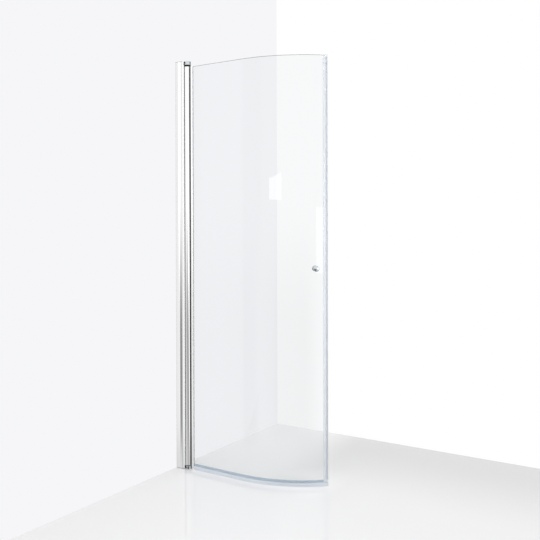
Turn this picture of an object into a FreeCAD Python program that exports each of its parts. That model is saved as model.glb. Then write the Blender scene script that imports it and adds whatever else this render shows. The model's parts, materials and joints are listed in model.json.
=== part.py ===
import FreeCAD, Part
import math
import os
import Sketcher

# Pivot shower door: a curved glass leaf on a full-height pivot tube, hung on a wall profile.
#
# Frame: the wall is the plane X = 0 and the floor is Z = 0. +X points out of the wall, +Y into the
# shower and +Z up. The origin is on the wall profile's centre line. At rest the door is closed: the
# leaf leaves the wall along +X and then curves towards +Y.

DRIVING_SIZES = (
    ("overall_height", 1900, "wall channel with its two end caps"),
    ("end_cap_thickness", 2.5, "end caps of the wall channel"),
    ("cap_tab_length", 9, "tab of an end cap, inside the channel"),
    ("cap_tab_thickness", 1.2, "tab of an end cap, inside the channel"),
    ("channel_depth", 37, "wall channel, out of the wall"),
    ("channel_base_wall", 2, "wall channel, the wall that is screwed on"),
    ("channel_side_wall", 1.6, "wall channel, sides at the mouth"),
    ("channel_bulge", 1.6, "how far the sides of the channel bulge at mid-depth"),
    ("wall_hole_radius", 3.25, "holes for the wall screws"),
    ("wall_hole_count", 4, "holes for the wall screws"),
    ("wall_hole_margin", 120, "first wall hole, from the end of the part"),
    ("slide_clearance", 0.4, "adjusting profile to channel side, each side"),
    ("slide_end_gap", 0.3, "adjusting profile to end cap"),
    ("adjust_in", 4, "travel of the adjusting profile towards the wall"),
    ("adjust_out", 8, "travel of the adjusting profile away from the wall"),
    ("adjust_stop_gap", 0.75, "adjusting profile to the cap tabs when it is pushed in"),
    ("screw_head_room", 3, "room for wall screw heads, behind the back web"),
    ("adjusting_wall", 1.6, "adjusting profile"),
    ("cradle_gap", 0.8, "pivot tube to the hollow cradle beside it"),
    ("cradle_wall", 1.8, "wall of the cradle"),
    ("cradle_angle", 51.3, "half the angle that the cradle takes round the tube, in degrees"),
    ("cavity_angle", 36.3, "half the angle of the thin part of the cradle, in degrees"),
    ("horn_face", 3.5, "tip of a horn, from the cradle to the outer face"),
    ("port_radius", 4, "screw ports of the adjusting profile"),
    ("port_bore_radius", 2.15, "screw ports of the adjusting profile"),
    ("port_overlap", 0.8, "how far a port sinks into the web that carries it"),
    ("groove_width", 1.5, "seal groove in a horn tip"),
    ("groove_depth", 2, "seal groove in a horn tip"),
    ("seal_stand_off", 0.4, "cradle seal to the pivot tube"),
    ("seal_head", 1.8, "cradle seal, proud of the horn tip"),
    ("seal_fit", 0.05, "soft strips and bushes, in their grooves and bores"),
    ("pivot_clearance", 1, "pivot brackets to the channel when the profile is pushed in"),
    ("bracket_height", 16.5, "round part of a pivot bracket"),
    ("bracket_rounding", 1.2, "outer edge of a pivot bracket"),
    ("bracket_step", 1, "top of the upper bracket, below the top of the channel cap"),
    ("mill_land", 2.8, "web left beside a pivot bracket's arm, inside the profile's walls"),
    ("arm_side_gap", 0.2, "arm of a pivot bracket, in the milled end of the profile"),
    ("arm_back_gap", 0.4, "arm of a pivot bracket, from the back of the profile"),
    ("pin_radius", 4, "pivot pins"),
    ("pin_chamfer", 0.6, "pivot pins"),
    ("pin_seat_gap", 0.02, "pivot pin in its bracket"),
    ("pin_run_gap", 0.05, "pivot pin in its bush"),
    ("pin_engagement", 18, "pivot pin, inside its bush"),
    ("pin_recess", 0.6, "pivot pin, below the outer face of its bracket"),
    ("grub_radius", 3, "grub screws that hold the pins"),
    ("grub_recess", 2.2, "grub screws, below the bracket's surface"),
    ("grub_socket", 1.5, "half the width across flats of a grub screw's socket"),
    ("grub_socket_depth", 3, "socket of a grub screw"),
    ("grub_turn", -10, "direction of the grub screws, from -Y, in degrees"),
    ("screw_radius", 2.1, "screws of the brackets"),
    ("screw_head_radius", 4, "screws of the brackets"),
    ("screw_head_height", 2.6, "screws of the brackets"),
    ("screw_engagement", 14, "screws of the brackets, in their ports"),
    ("screw_socket", 1.5, "half the width across flats of a screw's socket"),
    ("screw_hole_gap", 0.3, "screws of the brackets, in the arm and its counterbore"),
    ("socket_depth", 1.8, "sockets of the screws"),
    ("washer_thickness", 1, "thrust washer under the leaf"),
    ("washer_setback", 3, "thrust washer, inside the tube's outline"),
    ("washer_bore_gap", 0.3, "thrust washer round the pivot pin"),
    ("thrust_play", 0.1, "thrust washer to the bottom bush"),
    ("lift_play", 0.7, "top bush to the upper bracket"),
    ("tube_radius", 16, "pivot tube"),
    ("tube_wall", 2, "pivot tube"),
    ("jaw_length", 16, "jaws of the tube, past its outline"),
    ("jaw_wall", 2.1, "each jaw of the tube"),
    ("jaw_rounding", 1, "outer edge of each jaw"),
    ("slot_web", 1.2, "bottom of the slot between the jaws, past the tube's outline"),
    ("bush_spigot", 22, "bushes, inside the tube"),
    ("top_flange", 5, "flange of the top bush"),
    ("bottom_flange", 1.5, "flange of the bottom bush"),
    ("flange_setback", 0.8, "bush flanges, inside the tube's outline"),
    ("gasket_thickness", 1.9, "strips between glass and jaws"),
    ("gasket_lip", 1.5, "strips between glass and jaws, past the jaws"),
    ("gasket_lip_height", 1.2, "lip of a strip, over the end of its jaw"),
    ("glass_thickness", 6, "glass"),
    ("glass_edge_gap", 1.8, "hinge edge of the glass to the bottom of the slot"),
    ("glass_top_step", 3.8, "top of the glass, below the top of the tube"),
    ("glass_arris", 0.6, "ground edges of the glass"),
    ("straight_run", 305.5, "where the glass starts to curve, from the pivot axis"),
    ("curve_radius", 500, "middle plane of the glass"),
    ("curve_angle", 45, "turn of the leaf, up to its closing edge, in degrees"),
    ("seal_wall", 1.4, "walls of the clip-on seals"),
    ("seal_glass_gap", 0.25, "clip-on seals to the glass"),
    ("seal_end_gap", 0.3, "clip-on seals, to what they meet end on"),
    ("sill_clip_height", 8.7, "clip of the bottom seal, above its base"),
    ("sill_base", 2.3, "base of the bottom seal"),
    ("sill_floor_gap", 0.8, "lip of the bottom seal to the floor"),
    ("lip_root", 1.7, "lip of the bottom seal, where it leaves the base"),
    ("lip_tip", 1, "lip of the bottom seal, at the floor"),
    ("lip_lean", 1.2, "how far the lip leans inwards"),
    ("edge_overlap", 9.5, "edge seal, over the glass"),
    ("edge_reach", 10, "edge seal, past the glass"),
    ("edge_top_step", 2.8, "top of the edge seal, above the glass"),
    ("edge_rounding", 1.5, "outer edges of the edge seal"),
    ("edge_corner", 8, "lower outer corner of the edge seal"),
    ("magnet_gap", 0.1, "magnet strip in its chamber"),
    ("magnet_end_gap", 1, "ends of the magnet strip to the rounded corner's height"),
    ("knob_height", 948, "knobs, above the floor"),
    ("knob_edge_distance", 54, "knobs, from the closing edge along the leaf"),
    ("knob_radius", 12.5, "head of a knob"),
    ("knob_head_length", 12.5, "head of a knob, with its domed face"),
    ("knob_rounding", 3.5, "outer edge of a knob"),
    ("knob_dome", 1, "how far the face of a knob is domed"),
    ("knob_flare", 6, "hollow curve from the waist of a knob to its head"),
    ("knob_waist_length", 2, "straight part of a knob's waist"),
    ("knob_foot_step", 2, "bevel from the waist of a knob out to its foot"),
    ("knob_foot_height", 2.5, "foot of a knob"),
    ("knob_washer_thickness", 1, "clear washers under the knobs"),
    ("knob_washer_setback", 0.5, "clear washers, inside the foot of a knob"),
    ("knob_washer_gap", 0.15, "washers to the curved glass and to the knobs"),
    ("stud_radius", 3, "stud between the knobs"),
    ("stud_engagement", 13, "stud, inside each knob"),
    ("glass_hole_radius", 6, "hole in the glass for the knobs"),
    ("lock_count", 3, "screws that lock the adjusting profile"),
    ("lock_margin", 150, "first locking screw, from the end of the part"),
    ("lock_setback", 10, "locking screws, behind the mouth of the channel"),
    ("lock_radius", 2, "locking screws"),
    ("lock_head_radius", 3.8, "locking screws"),
    ("lock_head_height", 2.2, "locking screws"),
    ("lock_head_bevel", 1.1, "edge of a locking screw's head"),
    ("lock_socket_depth", 1.5, "socket of a locking screw"),
    ("lock_tail", 2, "locking screw, past its clamp plate"),
    ("lock_seat_depth", 1.6, "counterbore for a locking screw"),
    ("lock_hole_gap", 0.3, "locking screw in its hole, slot and cap"),
    ("lock_cap_wall", 1.2, "caps over the locking screws"),
    ("lock_cap_bevel", 0.6, "edge of a cap"),
    ("lock_cap_gap", 0.15, "cap in its counterbore"),
    ("nut_half_length", 5, "clamp plates, along the profile's travel"),
    ("nut_half_height", 7, "clamp plates, upwards"),
    ("nut_thickness", 2.5, "clamp plates"),
)

doc = FreeCAD.newDocument("pivot_shower_door")
pieces = []


class Size:
    """A length or an angle: its value, and the formula on the sheet's cells that gives it."""

    def __init__(self, formula, value):
        self.formula = formula
        self.value = value

    def __add__(self, other):
        return joined(self, "+", other, self.value + value_of(other))

    def __radd__(self, other):
        return joined(other, "+", self, value_of(other) + self.value)

    def __sub__(self, other):
        return joined(self, "-", other, self.value - value_of(other))

    def __rsub__(self, other):
        return joined(other, "-", self, value_of(other) - self.value)

    def __mul__(self, other):
        return joined(self, "*", other, self.value * value_of(other))

    def __rmul__(self, other):
        return joined(other, "*", self, value_of(other) * self.value)

    def __truediv__(self, other):
        return joined(self, "/", other, self.value / value_of(other))

    def __neg__(self):
        return joined(-1, "*", self, -self.value)


def value_of(amount):
    return amount.value if isinstance(amount, Size) else amount


def formula_of(amount):
    return amount.formula if isinstance(amount, Size) else "(%s)" % amount


def joined(left, sign, right, value):
    return Size("(%s %s %s)" % (formula_of(left), sign, formula_of(right)), value)


def root(amount):
    return Size("sqrt(%s)" % amount.formula, math.sqrt(amount.value))


def sine(degrees):
    return Size("sin(%s)" % degrees.formula, math.sin(math.radians(degrees.value)))


def cosine(degrees):
    return Size("cos(%s)" % degrees.formula, math.cos(math.radians(degrees.value)))


def leg(hypotenuse, other_leg):
    """The other short side of a right-angled triangle."""
    return root(hypotenuse * hypotenuse - other_leg * other_leg)


def bow_radius(chord, sagitta):
    """Radius of an arc that stands sagitta above a chord."""
    return (chord * chord / 4 + sagitta * sagitta) / (2 * sagitta)


class SizeSheet:
    """The sheet of driving sizes. Each one is read as an attribute."""

    def __init__(self, rows):
        sheet = doc.addObject("Spreadsheet::Sheet", "sizes")
        self.cells = {}
        for row, (alias, number, meaning) in enumerate(rows, start=1):
            sheet.set("A%d" % row, alias)
            sheet.set("B%d" % row, str(number))
            sheet.set("C%d" % row, meaning)
            sheet.setAlias("B%d" % row, alias)
            self.cells[alias] = number
        doc.recompute()

    def __getattr__(self, alias):
        return Size("sizes." + alias, self.cells[alias])


size = SizeSheet(DRIVING_SIZES)

# Levels, from the floor up.
channel_low = size.end_cap_thickness
channel_high = size.overall_height - size.end_cap_thickness
profile_low = channel_low + size.slide_end_gap
profile_high = channel_high - size.slide_end_gap
top_bracket_high = size.overall_height - size.bracket_step
top_bracket_low = top_bracket_high - size.bracket_height
washer_high = size.bracket_height + size.washer_thickness
bottom_flange_low = washer_high + size.thrust_play
tube_low = bottom_flange_low + size.bottom_flange
top_flange_high = top_bracket_low - size.lift_play
tube_high = top_flange_high - size.top_flange
glass_low = tube_low
glass_high = tube_high - size.glass_top_step
sill_base_high = glass_low - size.seal_end_gap
sill_base_low = sill_base_high - size.sill_base
edge_low = sill_base_high + size.seal_end_gap
edge_high = glass_high + size.edge_top_step
lock_low = size.lock_margin
lock_span = size.overall_height - 2 * size.lock_margin
wall_hole_span = size.overall_height - 2 * size.wall_hole_margin
top_grub_level = top_bracket_low + size.bracket_height / 2
bottom_grub_level = size.bracket_height / 2

# The pivot axis and the tube round it. The cradle of the adjusting profile follows the tube.
pivot_reach = size.channel_depth + size.adjust_in + size.pivot_clearance + size.tube_radius
tube_inner = size.tube_radius - size.tube_wall
cradle_radius = size.tube_radius + size.cradle_gap
cradle_back_radius = cradle_radius + size.cradle_wall
cradle_edge = cradle_radius * sine(size.cradle_angle)
horn_setback = cradle_radius * cosine(size.cradle_angle)
cavity_edge = cradle_back_radius * sine(size.cavity_angle)
cavity_setback = cradle_back_radius * cosine(size.cavity_angle)

# Plan sizes of the adjusting profile and of the wall channel round it.
adjusting_half_width = cradle_edge + size.horn_face
profile_inner = adjusting_half_width - size.adjusting_wall
arm_half_width = profile_inner - size.mill_land - size.arm_side_gap
cap_tab_back = size.channel_base_wall + size.seal_fit
cap_tab_front = cap_tab_back + size.cap_tab_thickness
profile_back = cap_tab_front + size.adjust_stop_gap + size.adjust_in
web_back = profile_back + size.screw_head_room
web_front = web_back + size.adjusting_wall
horn_tip = pivot_reach - horn_setback
cavity_front = pivot_reach - cavity_setback
groove_middle = (cradle_edge + adjusting_half_width) / 2
groove_inner = groove_middle - size.groove_width / 2
groove_outer = groove_middle + size.groove_width / 2
rear_port = web_front + size.port_radius - size.port_overlap
front_port = pivot_reach - cradle_back_radius - size.port_radius + size.port_overlap
ports = (rear_port, front_port)
channel_inner = adjusting_half_width + size.slide_clearance
channel_outer = channel_inner + size.channel_side_wall
channel_crown = channel_outer + size.channel_bulge
channel_bow = bow_radius(size.channel_depth, size.channel_bulge)

# Locking screws, their counterbores in the channel and their caps.
lock_reach = size.channel_depth - size.lock_setback
lock_seat = channel_crown - size.lock_seat_depth
lock_shank_hole = size.lock_radius + size.lock_hole_gap
lock_cap_inner = size.lock_head_radius + size.lock_hole_gap
lock_cap_outer = lock_cap_inner + size.lock_cap_wall
lock_seat_radius = lock_cap_outer + size.lock_cap_gap

# Jaws of the tube, from the pivot axis, and the glass between them.
slot_floor = size.tube_radius + size.slot_web
nose_reach = size.tube_radius + size.jaw_length
glass_half = size.glass_thickness / 2
slot_half = glass_half + size.gasket_thickness
nose_half = slot_half + size.jaw_wall
glass_start = pivot_reach + slot_floor + size.glass_edge_gap
curve_start = pivot_reach + size.straight_run
sill_start = pivot_reach + nose_reach + size.gasket_lip + size.seal_end_gap
clip_inner = glass_half + size.seal_glass_gap
clip_outer = clip_inner + size.seal_wall

# The magnet's chamber, from the end of the glass.
magnet_back = size.seal_end_gap + size.seal_wall
magnet_front = size.edge_reach - size.seal_wall
magnet_end_step = size.edge_corner + size.magnet_end_gap

# Knobs, from the glass's middle plane along their axis, and their radii.
knob_washer_near = glass_half + size.knob_washer_gap
knob_washer_far = knob_washer_near + size.knob_washer_thickness
knob_foot = knob_washer_far + size.knob_washer_gap
knob_foot_top = knob_foot + size.knob_foot_height
knob_waist_low = knob_foot_top + size.knob_foot_step
knob_waist_high = knob_waist_low + size.knob_waist_length
knob_head_low = knob_waist_high + size.knob_flare
knob_face = knob_head_low + size.knob_head_length
knob_waist_radius = size.knob_radius - size.knob_flare
knob_foot_radius = knob_waist_radius + size.knob_foot_step
knob_face_radius = size.knob_radius - size.knob_rounding
stud_end = knob_foot + size.stud_engagement


def turn_of(run):
    """Angle that a run along the curved part of the leaf takes up, in degrees."""
    return run * 180 / (math.pi * size.curve_radius)


glass_turn = size.curve_angle - turn_of(size.edge_reach)
clip_turn = glass_turn - turn_of(size.edge_overlap + size.seal_end_gap)
knob_turn = size.curve_angle - turn_of(size.knob_edge_distance)


def on_curve(turn, offset=0):
    """X and Y of a point of the leaf at a turn, offset outwards from the glass's middle plane."""
    reach = size.curve_radius + offset
    return curve_start + reach * sine(turn), size.curve_radius - reach * cosine(turn)


def spot(x, y, z=0):
    return FreeCAD.Vector(value_of(x), value_of(y), value_of(z))


UPRIGHT = spot(0, 0, 1)


def bind(target, path, amount):
    if isinstance(amount, Size):
        target.setExpression(path, amount.formula)


def origin_feature(body, role):
    return [feature for feature in body.Origin.OriginFeatures if feature.Role == role][0]


def new_body(label, group=False):
    """A sub-part. A group is several like solids that share one node."""
    body = doc.addObject("PartDesign::Body", label)
    body.Label = label
    body.AllowCompound = group
    pieces.append(body)
    return body


def place(body, x=0, y=0, z=0, turn=0):
    """Puts a sub-part in the frame, turned about the vertical."""
    body.Placement = FreeCAD.Placement(spot(x, y, z), FreeCAD.Rotation(UPRIGHT, value_of(turn)))
    bind(body, "Placement.Base.x", x)
    bind(body, "Placement.Base.y", y)
    bind(body, "Placement.Base.z", z)
    bind(body, "Placement.Rotation.Angle", turn)


def sketch_on(body, role, height=0, across=0, up=0, turn=0):
    """A sketch on one of the body's origin planes, shifted and turned about its own upright axis."""
    sketch = body.newObject("Sketcher::SketchObject", body.Label + "_sketch")
    sketch.AttachmentSupport = [(origin_feature(body, role), "")]
    sketch.MapMode = "FlatFace"
    tilt = FreeCAD.Rotation(spot(0, 1), value_of(turn))
    sketch.AttachmentOffset = FreeCAD.Placement(spot(across, up, height), tilt)
    bind(sketch, "AttachmentOffset.Base.x", across)
    bind(sketch, "AttachmentOffset.Base.y", up)
    bind(sketch, "AttachmentOffset.Base.z", height)
    bind(sketch, "AttachmentOffset.Rotation.Angle", turn)
    return sketch


def fix_point(sketch, element, end, x, y):
    """Ties one end of an element to its distances from the sketch's origin."""
    for kind, level, amount in (("DistanceX", "Vertical", x), ("DistanceY", "Horizontal", y)):
        if isinstance(amount, Size) or amount:
            number = value_of(amount)
            index = sketch.addConstraint(Sketcher.Constraint(kind, -1, 1, element, end, number))
            bind(sketch, "Constraints[%d]" % index, amount)
        else:
            sketch.addConstraint(Sketcher.Constraint(level, -1, 1, element, end))


def fix_radius(sketch, element, radius):
    index = sketch.addConstraint(Sketcher.Constraint("Radius", element, value_of(radius)))
    bind(sketch, "Constraints[%d]" % index, radius)


def arc_between(start, end, radius):
    """The short arc from start to end. A positive radius turns left, a negative one right."""
    chord = end - start
    middle = (start + end) * 0.5
    left = spot(-chord.y, chord.x).normalize()
    rise = math.sqrt(radius * radius - chord.Length * chord.Length / 4)
    centre = middle + left * math.copysign(rise, radius)
    first, last = (start, end) if radius > 0 else (end, start)
    angles = [math.atan2(end.y - centre.y, end.x - centre.x) for end in (first, last)]
    return Part.ArcOfCircle(Part.Circle(centre, UPRIGHT, abs(radius)), *angles)


def outline(sketch, *corners):
    """A closed outline. A corner is (x, y), or (x, y, radius) where the side after it is an arc."""
    begin = sketch.GeometryCount
    points = [spot(corner[0], corner[1]) for corner in corners]
    ends = []
    for start, end, corner in zip(points, points[1:] + points[:1], corners):
        if len(corner) == 3:
            side = arc_between(start, end, value_of(corner[2]))
            ends.append((1, 2) if value_of(corner[2]) > 0 else (2, 1))
        else:
            side = Part.LineSegment(start, end)
            ends.append((1, 2))
        sketch.addGeometry(side, False)
    for number, corner in enumerate(corners):
        follower = (number + 1) % len(corners)
        meeting = (begin + number, ends[number][1], begin + follower, ends[follower][0])
        sketch.addConstraint(Sketcher.Constraint("Coincident", *meeting))
        fix_point(sketch, begin + number, ends[number][0], corner[0], corner[1])
        if len(corner) == 3:
            fix_radius(sketch, begin + number, corner[2] * math.copysign(1, value_of(corner[2])))


def rectangle(sketch, left, low, right, high):
    outline(sketch, (left, low), (right, low), (right, high), (left, high))


def circle(sketch, radius, x=0, y=0):
    element = sketch.addGeometry(Part.Circle(spot(x, y), UPRIGHT, value_of(radius)), False)
    fix_point(sketch, element, 3, x, y)
    fix_radius(sketch, element, radius)


def socket_outline(sketch, half_flats):
    """A six-sided socket round the sketch's origin, with two of its corners up and down."""
    corner = 2 * half_flats / math.sqrt(3)
    half = corner / 2
    outline(
        sketch,
        (0, -corner),
        (half_flats, -half),
        (half_flats, half),
        (0, corner),
        (-half_flats, half),
        (-half_flats, -half),
    )


def solid_feature(body, kind, sketch):
    feature = body.newObject(kind, body.Label + "_feature")
    feature.Profile = sketch
    return feature


def pad(body, sketch, length, reverse=False):
    feature = solid_feature(body, "PartDesign::Pad", sketch)
    feature.Length = value_of(length)
    bind(feature, "Length", length)
    feature.Reversed = reverse
    doc.recompute()
    return feature


def pocket(body, sketch, depth, reverse=False):
    """Cuts against the sketch's normal, or along it when reversed, and makes sure that it cuts."""
    before = body.Shape.Volume
    feature = solid_feature(body, "PartDesign::Pocket", sketch)
    feature.Length = value_of(depth)
    bind(feature, "Length", depth)
    feature.Reversed = reverse
    doc.recompute()
    if body.Shape.Volume >= before:
        raise RuntimeError("a cut in %s removes nothing" % body.Label)
    return feature


def revolve(body, sketch, axis="V_Axis", angle=360):
    feature = solid_feature(body, "PartDesign::Revolution", sketch)
    feature.ReferenceAxis = (sketch, [axis])
    feature.Angle = value_of(angle)
    bind(feature, "Angle", angle)
    doc.recompute()
    return feature


def repeat(body, features, role, count, span):
    """A row of copies along one of the body's axes."""
    pattern = body.newObject("PartDesign::LinearPattern", body.Label + "_row")
    pattern.Originals = features
    pattern.Direction = (origin_feature(body, role), [""])
    pattern.Length = value_of(span)
    bind(pattern, "Length", span)
    pattern.Occurrences = value_of(count)
    bind(pattern, "Occurrences", count)
    body.Tip = pattern
    doc.recompute()


def dress_edges(body, kind, amount_name, amount, chosen):
    """A fillet or chamfer on the edges that pass the test chosen."""
    edges = body.Tip.Shape.Edges
    names = ["Edge%d" % number for number, edge in enumerate(edges, start=1) if chosen(edge)]
    if not names:
        raise RuntimeError("no edge of %s is dressed" % body.Label)
    base = body.Tip
    feature = body.newObject(kind, body.Label + "_edges")
    feature.Base = (base, names)
    setattr(feature, amount_name, value_of(amount))
    bind(feature, amount_name, amount)
    doc.recompute()


def round_edges(body, radius, chosen):
    dress_edges(body, "PartDesign::Fillet", "Radius", radius, chosen)


def chamfer_edges(body, width, chosen):
    dress_edges(body, "PartDesign::Chamfer", "Size", width, chosen)


def close(number, amount):
    return abs(number - value_of(amount)) < 1e-4


def edge_is_level(edge, level):
    """True for an edge that lies in the horizontal plane at a level of its body."""
    return close(edge.BoundBox.ZMin, level) and close(edge.BoundBox.ZMax, level)


def channel_plan(sketch, *inner_corners):
    """Outer outline of the wall channel. Inner corners turn the slab into a U."""
    outline(
        sketch,
        (0, -channel_outer, channel_bow),
        (size.channel_depth, -channel_outer),
        *inner_corners,
        (size.channel_depth, channel_outer, channel_bow),
        (0, channel_outer),
    )


def wall_channel():
    body = new_body("wall_channel")
    place(body, z=channel_low)
    plan = sketch_on(body, "XY_Plane")
    channel_plan(
        plan,
        (size.channel_depth, -channel_inner),
        (size.channel_base_wall, -channel_inner),
        (size.channel_base_wall, channel_inner),
        (size.channel_depth, channel_inner),
    )
    pad(body, plan, channel_high - channel_low)
    wall_hole = sketch_on(body, "YZ_Plane")
    circle(wall_hole, size.wall_hole_radius, 0, size.wall_hole_margin - channel_low)
    drilled = pocket(body, wall_hole, 2 * size.channel_base_wall, reverse=True)
    repeat(body, [drilled], "Z_Axis", size.wall_hole_count, wall_hole_span)
    seat = sketch_on(body, "XZ_Plane", height=-channel_crown)
    circle(seat, lock_seat_radius, lock_reach, lock_low - channel_low)
    seated = pocket(body, seat, size.lock_seat_depth, reverse=True)
    hole = sketch_on(body, "XZ_Plane", height=-lock_seat)
    circle(hole, lock_shank_hole, lock_reach, lock_low - channel_low)
    holed = pocket(body, hole, lock_seat - channel_inner + size.slide_clearance, reverse=True)
    repeat(body, [seated, holed], "Z_Axis", size.lock_count, lock_span)


def channel_end_cap(label, plate_low, tab_low):
    """A plate over the end of the wall channel, with a tab against the channel's base wall."""
    body = new_body(label)
    plate = sketch_on(body, "XY_Plane", height=plate_low)
    channel_plan(plate)
    pad(body, plate, size.end_cap_thickness)
    tab = sketch_on(body, "XY_Plane", height=tab_low)
    rectangle(tab, cap_tab_back, -adjusting_half_width, cap_tab_front, adjusting_half_width)
    pad(body, tab, size.cap_tab_length)


def horn_side(side):
    """Corners of a horn tip with its seal groove, from the outer face in, on one side."""
    groove_floor = horn_tip - size.groove_depth
    return [
        (horn_tip, side * adjusting_half_width),
        (horn_tip, side * groove_outer),
        (groove_floor, side * groove_outer),
        (groove_floor, side * groove_inner),
        (horn_tip, side * groove_inner),
    ]


def adjusting_profile():
    body = new_body("adjusting_profile")
    place(body, z=profile_low)
    plan = sketch_on(body, "XY_Plane")
    outline(
        plan,
        (profile_back, -adjusting_half_width),
        *horn_side(-1),
        (horn_tip, -cradle_edge, -cradle_radius),
        (horn_tip, cradle_edge),
        *reversed(horn_side(1)),
        (profile_back, adjusting_half_width),
        (profile_back, profile_inner),
        (web_back, profile_inner),
        (web_back, -profile_inner),
        (profile_back, -profile_inner),
    )
    outline(
        plan,
        (web_front, -profile_inner),
        (cavity_front, -profile_inner),
        (cavity_front, -cavity_edge, -cradle_back_radius),
        (cavity_front, cavity_edge),
        (cavity_front, profile_inner),
        (web_front, profile_inner),
    )
    pad(body, plan, profile_high - profile_low)
    port_walls = sketch_on(body, "XY_Plane")
    port_bores = sketch_on(body, "XY_Plane")
    for port in ports:
        circle(port_walls, size.port_radius, port)
        circle(port_bores, size.port_bore_radius, port)
    pad(body, port_walls, profile_high - profile_low)
    pocket(body, port_bores, profile_high - profile_low, reverse=True)
    mill_edge = arm_half_width + size.arm_side_gap
    for level, upwards in ((top_bracket_low, True), (size.bracket_height, False)):
        milled = sketch_on(body, "XY_Plane", height=level - profile_low)
        rectangle(milled, size.channel_base_wall, -mill_edge, pivot_reach, mill_edge)
        pocket(body, milled, size.bracket_height, reverse=upwards)
    slot = sketch_on(body, "XZ_Plane", height=-adjusting_half_width)
    slot_level = lock_low - profile_low
    slot_left = lock_reach - size.adjust_out
    slot_right = lock_reach + size.adjust_in
    outline(
        slot,
        (slot_left, slot_level - lock_shank_hole),
        (slot_right, slot_level - lock_shank_hole, lock_shank_hole),
        (slot_right + lock_shank_hole, slot_level, lock_shank_hole),
        (slot_right, slot_level + lock_shank_hole),
        (slot_left, slot_level + lock_shank_hole, lock_shank_hole),
        (slot_left - lock_shank_hole, slot_level, lock_shank_hole),
    )
    slotted = pocket(body, slot, 2 * size.adjusting_wall, reverse=True)
    repeat(body, [slotted], "Z_Axis", size.lock_count, lock_span)


def locking_screws():
    body = new_body("locking_screws", group=True)
    place(body, x=lock_reach, z=lock_low)
    profile = sketch_on(body, "XY_Plane")
    tip = profile_inner - size.nut_thickness - size.lock_tail
    head_top = lock_seat + size.lock_head_height
    outline(
        profile,
        (0, tip),
        (size.lock_radius, tip),
        (size.lock_radius, lock_seat),
        (size.lock_head_radius, lock_seat),
        (size.lock_head_radius, head_top - size.lock_head_bevel),
        (size.lock_head_radius - size.lock_head_bevel, head_top),
        (0, head_top),
    )
    turned = revolve(body, profile)
    socket = sketch_on(body, "XZ_Plane", height=-head_top)
    socket_outline(socket, size.screw_socket)
    driven = pocket(body, socket, size.lock_socket_depth, reverse=True)
    repeat(body, [turned, driven], "Z_Axis", size.lock_count, lock_span)


def locking_nuts():
    body = new_body("locking_nuts", group=True)
    place(body, x=lock_reach, z=lock_low)
    plate = sketch_on(body, "XZ_Plane", height=-(profile_inner - size.seal_fit))
    length = size.nut_half_length
    height = size.nut_half_height
    rectangle(plate, -length, -height, length, height)
    circle(plate, size.lock_radius + size.seal_fit)
    cut_plate = pad(body, plate, size.nut_thickness)
    repeat(body, [cut_plate], "Z_Axis", size.lock_count, lock_span)


def locking_screw_caps():
    body = new_body("locking_screw_caps", group=True)
    place(body, x=lock_reach, z=lock_low)
    profile = sketch_on(body, "XY_Plane")
    foot = lock_seat + size.seal_fit
    ceiling = lock_seat + size.lock_head_height + size.lock_hole_gap
    face = ceiling + size.lock_cap_wall
    outline(
        profile,
        (lock_cap_inner, foot),
        (lock_cap_outer, foot),
        (lock_cap_outer, face - size.lock_cap_bevel),
        (lock_cap_outer - size.lock_cap_bevel, face),
        (0, face),
        (0, ceiling),
        (lock_cap_inner, ceiling),
    )
    cap = revolve(body, profile)
    repeat(body, [cap], "Z_Axis", size.lock_count, lock_span)


def cradle_seal(label, side):
    """A soft strip in the groove of one horn tip, close beside the tube."""
    body = new_body(label)
    place(body, x=pivot_reach, z=size.bracket_height)
    plan = sketch_on(body, "XY_Plane")
    reach = size.tube_radius + size.seal_stand_off
    base = -horn_setback
    front = base + size.seal_head
    stem_back = base - size.groove_depth + size.seal_fit
    outline(
        plan,
        (stem_back, side * (groove_inner + size.seal_fit)),
        (base, side * (groove_inner + size.seal_fit)),
        (base, side * leg(reach, base)),
        (front, side * leg(reach, front)),
        (front, side * (adjusting_half_width - size.seal_head / 2)),
        (base, side * adjusting_half_width),
        (base, side * (groove_outer - size.seal_fit)),
        (stem_back, side * (groove_outer - size.seal_fit)),
    )
    pad(body, plan, top_bracket_low - size.bracket_height)


def pivot_bracket(label, low, arm_low, arm_high, outer_end):
    """A round boss on the pivot axis and an arm that is screwed into the end of the profile.

    The outer end is the boss's free end: the side of the screw heads and of the rounded edge.
    """
    body = new_body(label)
    place(body, x=pivot_reach, z=low)
    boss = sketch_on(body, "XY_Plane")
    circle(boss, size.tube_radius)
    pad(body, boss, size.bracket_height)
    round_edges(body, size.bracket_rounding, lambda edge: edge_is_level(edge, outer_end))
    arm = sketch_on(body, "XY_Plane", height=arm_low - low)
    arm_back = profile_back + size.arm_back_gap - pivot_reach
    rectangle(arm, arm_back, -arm_half_width, 0, arm_half_width)
    pad(body, arm, arm_high - arm_low)
    bore = sketch_on(body, "XY_Plane")
    circle(bore, size.pin_radius + size.pin_seat_gap)
    for port in ports:
        circle(bore, size.screw_radius + size.screw_hole_gap, port - pivot_reach)
    pocket(body, bore, size.bracket_height, reverse=True)
    faces_up = value_of(outer_end) > 0
    head_face = arm_high if faces_up else arm_low
    counterbore = sketch_on(body, "XY_Plane", height=head_face - low)
    for port in ports:
        circle(counterbore, size.screw_head_radius + size.screw_hole_gap, port - pivot_reach)
    pocket(body, counterbore, size.screw_head_height + size.screw_hole_gap, reverse=not faces_up)
    level = size.bracket_height / 2
    grub_hole = sketch_on(body, "XZ_Plane", turn=size.grub_turn)
    circle(grub_hole, size.grub_radius + size.seal_fit, 0, level)
    pocket(body, grub_hole, size.tube_radius + size.grub_recess, reverse=True)


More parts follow.
